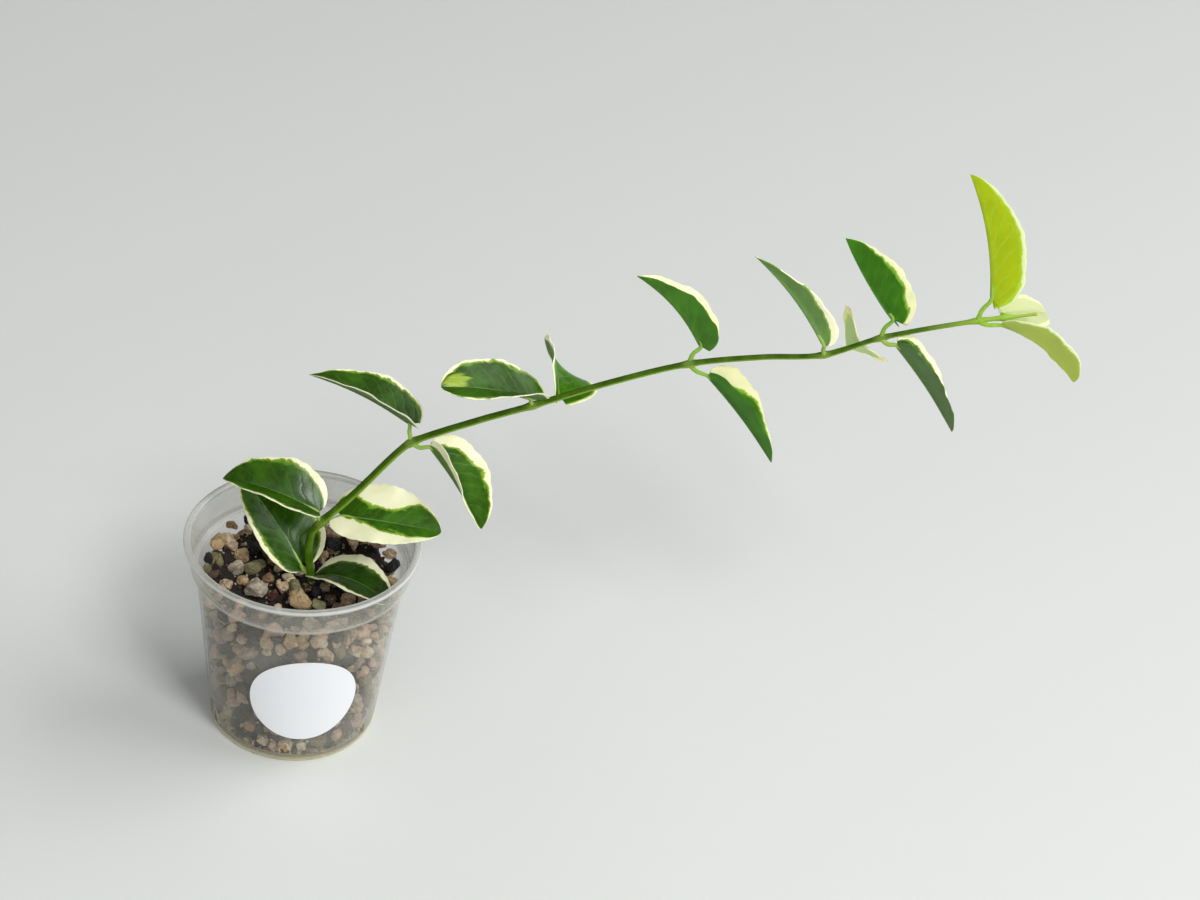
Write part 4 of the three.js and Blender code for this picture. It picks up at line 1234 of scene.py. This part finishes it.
def yellow_patch(leaf, t, u):
    """Strength of the one clear yellow patch, on the right half of leaf_g near its tip."""
    if leaf["name"] != "leaf_g" or u < 0:
        return 0.0
    return math.exp(-(((t - 0.86) / 0.15) ** 2) - (((u - 0.3) / 0.42) ** 2))


def place_along(share):
    """Moves evenly spaced places towards the blade's base and tip, where its outline bends most."""
    return (1 - END_CROWDING) * share + END_CROWDING * (0.5 - 0.5 * math.cos(math.pi * share))


def leaf_object(leaf, index, rows, columns):
    """Blade and stalk of one leaf as one piece, with the places that its material reads."""
    seed = LEAF_SEED_STEP * index
    shares = [place_along(i / rows) for i in range(rows + 1)]
    places = [(t, 2 * k / columns - 1) for t in shares for k in range(columns + 1)]
    middle = np.array([blade_point(leaf, t, u, seed) for t, u in places])
    surface = middle.reshape(rows + 1, columns + 1, 3)
    normals = np.cross(np.gradient(surface, axis=1), np.gradient(surface, axis=0)).reshape(-1, 3)
    normals /= np.maximum(np.linalg.norm(normals, axis=1), 1e-12)[:, None]
    ups = np.array([blade_frame(leaf, t)[3] for t, u in places])
    if np.mean(np.sum(normals * ups, axis=1)) < 0:
        normals = -normals
    thick = np.array([blade_thickness(t, u) for t, u in places])
    ribs = np.array([rib_height(t, u) for t, u in places])
    upper = middle + normals * thick[:, None]
    lower = middle - normals * (thick + ribs)[:, None]
    count = len(middle)
    flip = np.dot(np.cross(surface[0, 1] - surface[0, 0], surface[1, 0] - surface[0, 0]), ups[0]) < 0
    faces = grid_faces(rows + 1, columns + 1, flip=bool(flip))
    faces += grid_faces(rows + 1, columns + 1, start=count, flip=not flip)
    edge = list(range(columns + 1))
    edge += [i * (columns + 1) + columns for i in range(1, rows + 1)]
    edge += [rows * (columns + 1) + k for k in range(columns - 1, -1, -1)]
    edge += [i * (columns + 1) for i in range(rows - 1, 0, -1)]
    for here, after in zip(edge, edge[1:] + edge[:1]):
        quad = [here, after, count + after, count + here]
        faces.append(quad if flip else quad[::-1])

    stalk_points, stalk_radii = stalk_route(leaf)
    stalk_vertices, stalk_faces = rod(stalk_points, stalk_radii, PETIOLE_SIDES, start=2 * count)
    vertices = list(upper) + list(lower) + stalk_vertices
    faces += stalk_faces

    def both_faces(numbers, on_stalk):
        """One number for each vertex: those of the blade for both its faces, and one for all the stalk."""
        return list(numbers) * 2 + [on_stalk] * len(stalk_vertices)

    values = {
        "along": both_faces((t for t, u in places), 0.0),
        "across": both_faces((u for t, u in places), 0.5),
        "green_margin": both_faces((1 - cream_share(leaf, t, u) - abs(u) for t, u in places), 0.5),
        "yellow": both_faces((yellow_patch(leaf, t, u) for t, u in places), 0.0),
        "underside": [0.0] * count + [1.0] * count + [0.5] * len(stalk_vertices),
        "stalk": both_faces([0.0] * count, 1.0),
    }
    for name, number in (
        ("leaf_seed", seed * 7), ("light_through", leaf["light"]), ("paleness", leaf["pale"]),
        ("tone", leaf["tone"]),
    ):
        values[name] = [number] * len(vertices)
    return make_object(leaf["name"] + "_blade", vertices, faces, values=values)


def stalk_route(leaf):
    """Points and radii of the leaf stalk, from inside the stem into the blade's midrib."""
    node_point = NODE_POINTS[leaf["node"]]
    node = STEM_PATH[node_point]
    foot, _, _, foot_normal = blade_frame(leaf, 0)
    end, _, _, normal = blade_frame(leaf, PETIOLE_INTO_BLADE)
    way = unit(STEM_PATH[node_point + 1] - node)
    out = foot - node
    out = unit(out - way * np.dot(out, way))
    start = node + out * 0.2 * stem_radius(node)
    bend = start + (foot - start) * PETIOLE_BEND_AT + out * PETIOLE_BOW
    foot = foot - foot_normal * PETIOLE_SUNK_AT_FOOT
    points = smooth_curve([start, bend, foot, end - normal * PETIOLE_SUNK_AT_END], PETIOLE_STEPS)
    shares = np.linspace(0, 1, len(points))
    radii = PETIOLE_RADIUS_STEM + (PETIOLE_RADIUS_BLADE - PETIOLE_RADIUS_STEM) * np.sqrt(shares)
    slimming = np.clip((shares - PETIOLE_SLIM_FROM) / (1 - PETIOLE_SLIM_FROM), 0, 1)
    return points, radii * (1 - 0.5 * slimming)


# Settings that a user would change

def colour_property(name, description, default):
    """A colour that a user can pick."""
    return FloatVectorProperty(
        name=name, description=description, subtype="COLOR", size=3, default=default, min=0, max=1)


class HoyaPotSettings(PropertyGroup):
    """Look of the clear pot."""
    colour: colour_property("Plastic colour", "Colour of the milky plastic", (0.46, 0.445, 0.39))
    # Besides the thick plastic's white, the lip colour also paints a highlight along the lip's outer round.
    lip_colour: colour_property("Lip colour", "Colour of the thick milky lip", (0.56, 0.58, 0.56))
    # Painted glow: the colour of light gathered in the pot's foot, painted into the plastic and the drain
    # rims.
    foot_glow_colour: colour_property(
        "Foot colour", "Warm colour of the light in the pot's foot", (0.74, 0.66, 0.36))
    milkiness: FloatProperty(
        name="Milkiness", description="How much each surface of the wall hides, seen face on",
        subtype="FACTOR", default=0.15, min=0.02, max=0.6)
    sides: IntProperty(
        name="Sides", description="Faces round the pot", default=144, min=24, max=360)


class HoyaLabelSettings(PropertyGroup):
    """Look of the paper label."""
    colour: colour_property("Paper colour", "Colour of the bare paper", (0.76, 0.775, 0.795))


class HoyaMixSettings(PropertyGroup):
    """Grains of the potting mix."""
    grain: FloatProperty(
        name="Grain size", description="Mean radius of the pumice grains", subtype="DISTANCE",
        unit="LENGTH", default=2.9 * MM, min=1.5 * MM, max=5 * MM)
    top_dark_share: FloatProperty(
        name="Dark share on top", description="Share of bark and charcoal among the top's loose grains",
        subtype="FACTOR", default=0.34, min=0, max=1)
    wall_dark_share: FloatProperty(
        name="Dark share at the wall", description="Share of bark and charcoal among the wall's grains",
        subtype="FACTOR", default=0.42, min=0, max=1)
    tint: colour_property("Tint", "Colour that all grains are tinted with", (1.0, 1.0, 1.0))
    seed: IntProperty(name="Seed", description="Seed of the grains' places and shapes", default=7, min=0)


class HoyaStemSettings(PropertyGroup):
    """Look of the vine stem."""
    upper_colour: colour_property(
        "Upper colour", "Skin colour where the stem looks up", (0.032, 0.08, 0.0015))
    under_colour: colour_property(
        "Under colour", "Skin colour on the stem's underside", (0.2, 0.34, 0.03))
    sides: IntProperty(name="Sides", description="Faces round the stem", default=20, min=6, max=48)
    steps: IntProperty(name="Steps", description="Rings along the stem", default=420, min=40, max=900)


class HoyaLeafSettings(PropertyGroup):
    """Look of the leaves."""
    green: colour_property("Green", "Middle green of a grown leaf", (0.05, 0.16, 0.003))
    cream: colour_property("Cream", "Colour of the leaf margins", (0.95, 0.94, 0.66))
    young_green: colour_property("Young green", "Colour of a young leaf", (0.42, 0.5, 0.008))
    rows: IntProperty(name="Rows", description="Faces along a blade", default=84, min=20, max=160)
    columns: IntProperty(name="Columns", description="Faces across a blade", default=48, min=12, max=120)


class HoyaStageSettings(PropertyGroup):
    """Floor, light and camera."""
    floor_colour: colour_property("Floor colour", "Colour of the plain floor", (0.61, 0.624, 0.606))
    key_power: FloatProperty(
        name="Window light", description="Power of the large light on the right, in watts",
        default=60.0, min=0)
    fill_power: FloatProperty(
        name="Fill light", description="Power of the large soft light in front, in watts",
        default=21.0, min=0)
    pane_power: FloatProperty(
        name="Side light", description="Power of the small light that gives the leaves their gloss, in watts",
        default=22.5, min=0)
    sky: FloatProperty(
        name="Room light", description="Brightness of the light from all round", default=0.25, min=0)
    lens: FloatProperty(
        name="Lens", description="Focal length of the camera in millimetres, on a 36 mm sensor",
        default=84.0, min=10)


# Operators

class HOYA_OT_pot(Operator):
    """Make the clear tapered pot with its collar, lip and drain holes"""
    bl_idname = "hoya.pot"
    bl_label = "Pot"

    def execute(self, context):
        settings = context.scene.hoya_pot
        pot = turned("pot_shell", pot_profile(), settings.sides)
        weld(pot, 0.12 * MM)
        cut_away(pot, drain_cutter())
        pot.data.shade_smooth()
        pot.data.set_sharp_from_angle(angle=SHARP_EDGE)
        add_values(pot.data, {"height": [v.co.z for v in pot.data.vertices]})
        fit_piece(pot, plastic_material(settings), "clear_plastic", "pot")
        fit_piece(drain_rims(), rim_material(settings), "clear_plastic")
        return {"FINISHED"}


class HOYA_OT_label(Operator):
    """Make the bare round paper label on the pot's wall"""
    bl_idname = "hoya.label"
    bl_label = "Label"

    def execute(self, context):
        label = label_mesh()
        label.data.set_sharp_from_angle(angle=SHARP_EDGE)
        fit_piece(label, paper_material(context.scene.hoya_label), "label_paper", "label")
        return {"FINISHED"}


class HOYA_OT_mix(Operator):
    """Make the potting mix: dark soil with grains on its top, along the wall and on the floor"""
    bl_idname = "hoya.mix"
    bl_label = "Potting Mix"

    def execute(self, context):
        settings = context.scene.hoya_mix
        rng = np.random.default_rng(settings.seed)
        grains = stone_material(settings)
        fit_piece(self.soil_core(rng), soil_material(settings), "potting_mix", "potting_mix")
        fit_piece(self.top_grains(rng, settings), grains, "potting_mix")
        fit_piece(self.wall_grains(rng, settings), grains, "potting_mix")
        fit_piece(self.crumbs(rng), grains, "potting_mix")
        return {"FINISHED"}

    def soil_core(self, rng):
        """Lumpy dark body of the mix, a little inside the grains."""
        inner = POT_WALL + CORE_DEPTH
        heights = np.linspace(POT_FLOOR + CORE_FLOOR_UP, MIX_TOP - CORE_TOP_DOWN, CORE_RINGS)
        low, top = heights[0], heights[-1]
        rows = [(CORE_MIDDLE, low)]
        rows += [((body_radius(low) - inner) * share, low) for share in CORE_FLOOR_SHARES]
        first_wall_row = len(rows)
        rows += [(body_radius(height) - inner, height) for height in heights]
        rows += [((body_radius(top) - inner) * share, top) for share in CORE_TOP_SHARES]
        rows += [(CORE_MIDDLE, top)]
        vertices = []
        for i, (radius, height) in enumerate(rows):
            heaped = max(0.0, (height - HEAP_FROM_HEIGHT) / (top - HEAP_FROM_HEIGHT))
            for k in range(CORE_SIDES):
                bump = CORE_BUMPS * rng.normal() * (i > 0)
                lift = CORE_LIFTS * rng.normal() * (i > first_wall_row)
                x, y, _ = polar(max(CORE_MIDDLE / 2, radius + bump), 2 * math.pi * k / CORE_SIDES, height)
                vertices.append((x, y, height + lift + heaped * wall_heap(x, y)))
        faces = grid_faces(len(rows), CORE_SIDES, wrap=True)
        faces.append(list(reversed(range(CORE_SIDES))))
        faces.append([(len(rows) - 1) * CORE_SIDES + k for k in range(CORE_SIDES)])
        return make_object("soil_core", vertices, faces)

    def top_grains(self, rng, settings):
        """Grains heaped on the mix, with the stones that stand out."""
        standing = [((x * MM, y * MM), half * MM, tone) for x, y, half, tone in TOP_STONES]
        grains = []
        for lift, left_out, drop in TOP_LAYERS:
            for x, y in scatter_on_top(rng, settings.grain * TOP_SPACING, TOP_JITTER):
                if rng.uniform() < left_out:
                    continue
                size = settings.grain * rng.uniform(*TOP_SIZES)
                rise = lift + rng.normal() * TOP_UNEVEN
                x, y = held_inside(x, y, mix_surface(x, y) + rise, size)
                height = mix_surface(x, y) + rise
                if not over_core(x, y):
                    height -= drop
                if clear_of_stem(x, y, size) and clear_of_stones((x, y), size, standing):
                    grains.append(((x, y, height), size))
        tones = pick_tones(rng, len(grains), settings.top_dark_share)
        for (x, y), half, tone in standing:
            height = mix_surface(x, y) + half * STANDING_RISE
            grains.append(((*held_inside(x, y, height, half), height), half * STANDING_SIZE))
            tones.append(tone_value(tone))
        return stones("top_grains", grains, tones, rng, 4)

    def wall_grains(self, rng, settings):
        """Grains pressed against the wall and the floor, seen through the plastic."""
        standing = []
        for angle, height, half, tone in WALL_STONES:
            place = wall_place(math.radians(angle), height * MM, half * MM * STANDING_INSET)
            standing.append((place, half * MM, tone))
        floor = POT_FLOOR + MIX_WALL_GAP
        grains = []
        spacing = settings.grain * WALL_SPACING
        row_step = spacing * WALL_ROW_STEP
        for row in range(int((MIX_TOP + WALL_HEAP) / row_step)):
            height = POT_FLOOR + settings.grain + row * row_step
            count = int(2 * math.pi * mix_radius(height) / spacing)
            for k in range(count):
                size = settings.grain * rng.uniform(*WALL_SIZES)
                angle = 2 * math.pi * (k + 0.5 * (row % 2) + WALL_TURN * rng.normal()) / count
                lift = max(floor + size * WALL_LOWEST - height, rng.normal() * WALL_UNEVEN)
                x, y, _ = wall_place(angle, height, size * WALL_INSET)
                place = (x, y, height + lift)
                in_mix = height < mix_surface(x, y) - WALL_TOP_DOWN
                if in_mix and clear_of_stones(place, size * 0.8, standing):
                    grains.append((place, size))
        for x, y in scatter_on_top(rng, settings.grain * FLOOR_SPACING, FLOOR_JITTER):
            if math.hypot(x, y) < FLOOR_GRAINS_RADIUS:
                size = settings.grain * rng.uniform(*FLOOR_SIZES)
                grains.append(((x, y, floor + size * GRAIN_REACH), size))
        for k in range(FOOT_GRAINS):
            size = rng.uniform(*FOOT_SIZES)
            angle = 2 * math.pi * (k + 0.3 * rng.normal()) / FOOT_GRAINS
            grains.append((wall_place(angle, floor + size * GRAIN_REACH, size * FOOT_INSET), size))
        tones = pick_tones(rng, len(grains), settings.wall_dark_share)
        for place, half, tone in standing:
            grains.append((place, half * STANDING_SIZE))
            tones.append(tone_value(tone))
        return stones("wall_grains", grains, tones, rng, 3)

    def crumbs(self, rng):
        """Small bits between the grains on the top and along the wall."""
        bits = []
        for x, y in scatter_on_top(rng, CRUMB_SPACING, CRUMB_JITTER):
            size = rng.uniform(*TOP_CRUMB_SIZES)
            if clear_of_stem(x, y, size) and over_core(x, y):
                bits.append(((x, y, mix_surface(x, y) + rng.uniform(*TOP_CRUMB_LIFTS)), size))
        for _ in range(WALL_CRUMBS):
            height = rng.uniform(POT_FLOOR + 2 * MM, MIX_TOP)
            size = rng.uniform(*WALL_CRUMB_SIZES)
            angle = rng.uniform(0, 2 * math.pi)
            bits.append((wall_place(angle, height, size + CRUMB_DEPTH), size))
        tones = pick_tones(rng, len(bits), CRUMB_DARK_SHARE)
        return stones("fine_crumbs", bits, tones, rng, 1, cuts=6)


class HOYA_OT_stem(Operator):
    """Make the vine stem with its swollen leaf nodes"""
    bl_idname = "hoya.stem"
    bl_label = "Stem"

    def execute(self, context):
        settings = context.scene.hoya_stem
        points = smooth_curve(STEM_PATH, settings.steps)
        radii = np.array([stem_radius(p) for p in points])
        vertices, faces = rod(points, radii, settings.sides, flutes=0.02)
        shares = np.linspace(0, 1, len(points))
        swelling = [min(1.0, node_swelling(p)) for p in points]
        owner = list(np.repeat(np.arange(len(points)), settings.sides)) + [0, len(points) - 1]
        looks_up = []
        for vertex, ring in zip(vertices, owner):
            out = vertex - points[ring]
            length = np.linalg.norm(out)
            looks_up.append(0.5 + 0.5 * out[2] / length if length else 0.5)
        values = {
            "along": [shares[i] for i in owner],
            "swelling": [swelling[i] for i in owner],
            "looks_up": looks_up,
        }
        stem = make_object("vine_stem", vertices, faces, values=values)
        fit_piece(stem, stem_material(settings), "stem", "stem")
        return {"FINISHED"}


class HOYA_OT_roots(Operator):
    """Make the root crown and its spreading roots inside the mix"""
    bl_idname = "hoya.roots"
    bl_label = "Roots"

    def execute(self, context):
        centre = STEM_PATH[0].copy()
        centre[2] -= MIX_WALL_GAP + ROOT_CROWN_RADIUS * ROOT_CROWN_STRETCH
        directions, triangles = ball(3)
        vertices = list(centre + directions * ROOT_CROWN_RADIUS * np.array((1, 1, ROOT_CROWN_STRETCH)))
        faces = [list(t) for t in triangles]
        for i in range(ROOT_COUNT):
            angle = 2 * math.pi * (i + ROOT_VARIATION * math.sin(3 * i)) / ROOT_COUNT
            reach = ROOT_REACH * (1 - ROOT_VARIATION * (1 - math.cos(5 * i)) / 2)
            drop = ROOT_DROP * (1 - ROOT_VARIATION * (1 - math.sin(4 * i)) / 2)
            knee = centre + np.array(polar(reach * ROOT_KNEE_REACH, angle, -drop * ROOT_KNEE_DROP))
            end = centre + np.array(polar(reach, angle, -drop))
            shares = np.linspace(0, 1, ROOT_STEPS)[:, None]
            points = (1 - shares) ** 2 * centre + 2 * shares * (1 - shares) * knee + shares**2 * end
            radii = ROOT_RADIUS * (1 - 0.6 * shares[:, 0]) * (1 + 0.08 * np.sin(shares[:, 0] * 60 + i))
            root_vertices, root_faces = rod(points, radii, 10, start=len(vertices))
            vertices += root_vertices
            faces += root_faces
        roots = make_object("root_mass", vertices, faces)
        fit_piece(roots, root_material(), "root", "roots")
        return {"FINISHED"}


class HOYA_OT_leaves(Operator):
    """Make every leaf with its stalk, veins and cream margins"""
    bl_idname = "hoya.leaves"
    bl_label = "Leaves"

    def execute(self, context):
        settings = context.scene.hoya_leaves
        grown = self.grown_colours(settings)
        thick = leaf_material("leaf_variegated_skin", grown, vein_show=0.12, light_share=0.13, gloss=0.24)
        thin = leaf_material("leaf_thin_skin", grown, vein_show=0.12, light_share=0.4, gloss=0.24)
        young = leaf_material(
            "leaf_young_skin", self.young_colours(settings), vein_show=0.4, light_share=0.5, gloss=0.36)
        for index, own in enumerate(LEAVES):
            leaf = LEAF_USUAL | own
            piece = leaf_object(leaf, index, settings.rows, settings.columns)
            if leaf["name"] in YOUNG_LEAVES:
                fit_piece(piece, young, "leaf_young", leaf["name"])
            else:
                skin = thin if leaf["light"] >= THIN_LEAF_LIGHT else thick
                fit_piece(piece, skin, "leaf_variegated", leaf["name"])
        return {"FINISHED"}

    def grown_colours(self, settings):
        """Colours of a grown variegated leaf."""
        return {
            "green": tuple(settings.green),
            "deep": tuple(0.5 * c for c in settings.green),
            "pale": (0.13, 0.33, 0.025),
            "cream": tuple(settings.cream),
            "yellow": (0.42, 0.56, 0.05),
            "rib": (0.2, 0.4, 0.1),
            "under": (0.22, 0.36, 0.13),
            "stalk": (0.3, 0.47, 0.08),
            "through": (0.3, 0.85, 0.0),
            "yellow_through": (0.55, 0.95, 0.02),
            "cream_through": (1.0, 0.95, 0.55),
        }

    def young_colours(self, settings):
        """Colours of a young yellow-green leaf."""
        return {
            "green": tuple(settings.young_green),
            "deep": tuple(0.8 * c for c in settings.young_green),
            "pale": (0.42, 0.6, 0.08),
            "cream": (0.88, 0.9, 0.62),
            "yellow": (0.5, 0.66, 0.08),
            "rib": (0.45, 0.62, 0.15),
            "under": (0.42, 0.58, 0.16),
            "stalk": (0.4, 0.56, 0.1),
            "through": (0.88, 1.0, 0.0),
            "yellow_through": (0.7, 1.0, 0.05),
            "cream_through": (0.95, 1.0, 0.7),
        }


class HOYA_OT_stage(Operator):
    """Make the floor, the soft lights and the camera"""
    bl_idname = "hoya.stage"
    bl_label = "Stage"

    CAMERA_PLACE = Vector((0.090, -0.706, 0.619))
    CAMERA_DOWN = math.radians(35.2)
    CAMERA_ROLL = math.radians(7.8)
    FLOOR_SIZE = 12.0
    AIM = Vector((0.08, 0.0, 0.1))

    # Each light's name, the setting with its power, its place and its size
    LIGHTS = (
        ("window_light", "key_power", (2.1, 0.5, 1.6), 2.4),
        ("side_light", "pane_power", (0.8, -1.0, 1.5), 0.5),
        ("fill_light", "fill_power", (-0.2, -2.2, 1.4), 2.4),
    )

    def execute(self, context):
        settings = context.scene.hoya_stage
        self.floor(settings)
        self.lights(context, settings)
        self.camera(context, settings)
        context.scene.view_settings.view_transform = "Standard"
        return {"FINISHED"}

    def floor(self, settings):
        """Plain pale floor under the pot."""
        half = self.FLOOR_SIZE / 2
        corners = [(-half, -half, 0), (half, -half, 0), (half, half, 0), (-half, half, 0)]
        floor = make_object("floor", corners, [[0, 1, 2, 3]], smooth=False)
        floor.data.materials.append(floor_material(settings))

    def lights(self, context, settings):
        """A large window light and a small side light on the right, a soft fill in front, and room light."""
        for name, power, place, size in self.LIGHTS:
            self.area(name, place, size, getattr(settings, power))
        world = bpy.data.worlds.new("room")
        world.use_nodes = True
        back = world.node_tree.nodes["Background"]
        back.inputs["Color"].default_value = (0.97, 0.99, 1.0, 1)
        back.inputs["Strength"].default_value = settings.sky
        context.scene.world = world

    def area(self, name, place, size, power):
        """A square light that looks at the plant."""
        light = bpy.data.lights.new(name, "AREA")
        light.size = size
        light.energy = power
        holder = bpy.data.objects.new(name, light)
        holder.location = place
        holder.rotation_euler = (self.AIM - Vector(place)).to_track_quat("-Z", "Y").to_euler()
        bpy.context.scene.collection.objects.link(holder)

    def camera(self, context, settings):
        """Long lens that looks down on the plant, rolled a little."""
        down, roll = self.CAMERA_DOWN, self.CAMERA_ROLL
        ahead = Vector((0, math.cos(down), -math.sin(down)))
        right = Vector((1, 0, 0))
        up = right.cross(ahead)
        rolled_right = right * math.cos(roll) + up * math.sin(roll)
        rolled_up = up * math.cos(roll) - right * math.sin(roll)
        turn = Matrix((rolled_right, rolled_up, -ahead)).transposed()
        data = bpy.data.cameras.new("camera")
        data.lens = settings.lens
        data.sensor_width = 36.0
        data.sensor_fit = "HORIZONTAL"
        camera = bpy.data.objects.new("camera", data)
        camera.matrix_world = Matrix.Translation(self.CAMERA_PLACE) @ turn.to_4x4()
        context.scene.collection.objects.link(camera)
        context.scene.camera = camera


class HOYA_PT_panel(Panel):
    """Lists the operators that make the plant"""
    bl_idname = "HOYA_PT_panel"
    bl_label = "Potted Hoya"
    bl_space_type = "VIEW_3D"
    bl_region_type = "UI"
    bl_category = "Hoya"

    def draw(self, context):
        for operator in OPERATORS:
            self.layout.operator(operator.bl_idname)
        for name in SETTINGS:
            box = self.layout.box()
            group = getattr(context.scene, name)
            for key in group.__annotations__:
                box.prop(group, key)


OPERATORS = (
    HOYA_OT_pot, HOYA_OT_label, HOYA_OT_mix, HOYA_OT_stem, HOYA_OT_roots, HOYA_OT_leaves, HOYA_OT_stage,
)
SETTINGS = {
    "hoya_pot": HoyaPotSettings,
    "hoya_label": HoyaLabelSettings,
    "hoya_mix": HoyaMixSettings,
    "hoya_stem": HoyaStemSettings,
    "hoya_leaves": HoyaLeafSettings,
    "hoya_stage": HoyaStageSettings,
}


def register():
    for group in SETTINGS.values():
        bpy.utils.register_class(group)
    for name, group in SETTINGS.items():
        setattr(bpy.types.Scene, name, PointerProperty(type=group))
    for operator in OPERATORS:
        bpy.utils.register_class(operator)
    bpy.utils.register_class(HOYA_PT_panel)


def unregister():
    bpy.utils.unregister_class(HOYA_PT_panel)
    for operator in reversed(OPERATORS):
        bpy.utils.unregister_class(operator)
    for name, group in SETTINGS.items():
        delattr(bpy.types.Scene, name)
        bpy.utils.unregister_class(group)


def main():
    """Make every piece in order."""
    register()
    bpy.ops.hoya.stage()
    bpy.ops.hoya.pot()
    bpy.ops.hoya.label()
    bpy.ops.hoya.mix()
    bpy.ops.hoya.stem()
    bpy.ops.hoya.roots()
    bpy.ops.hoya.leaves()


if __name__ == "__main__":
    main()
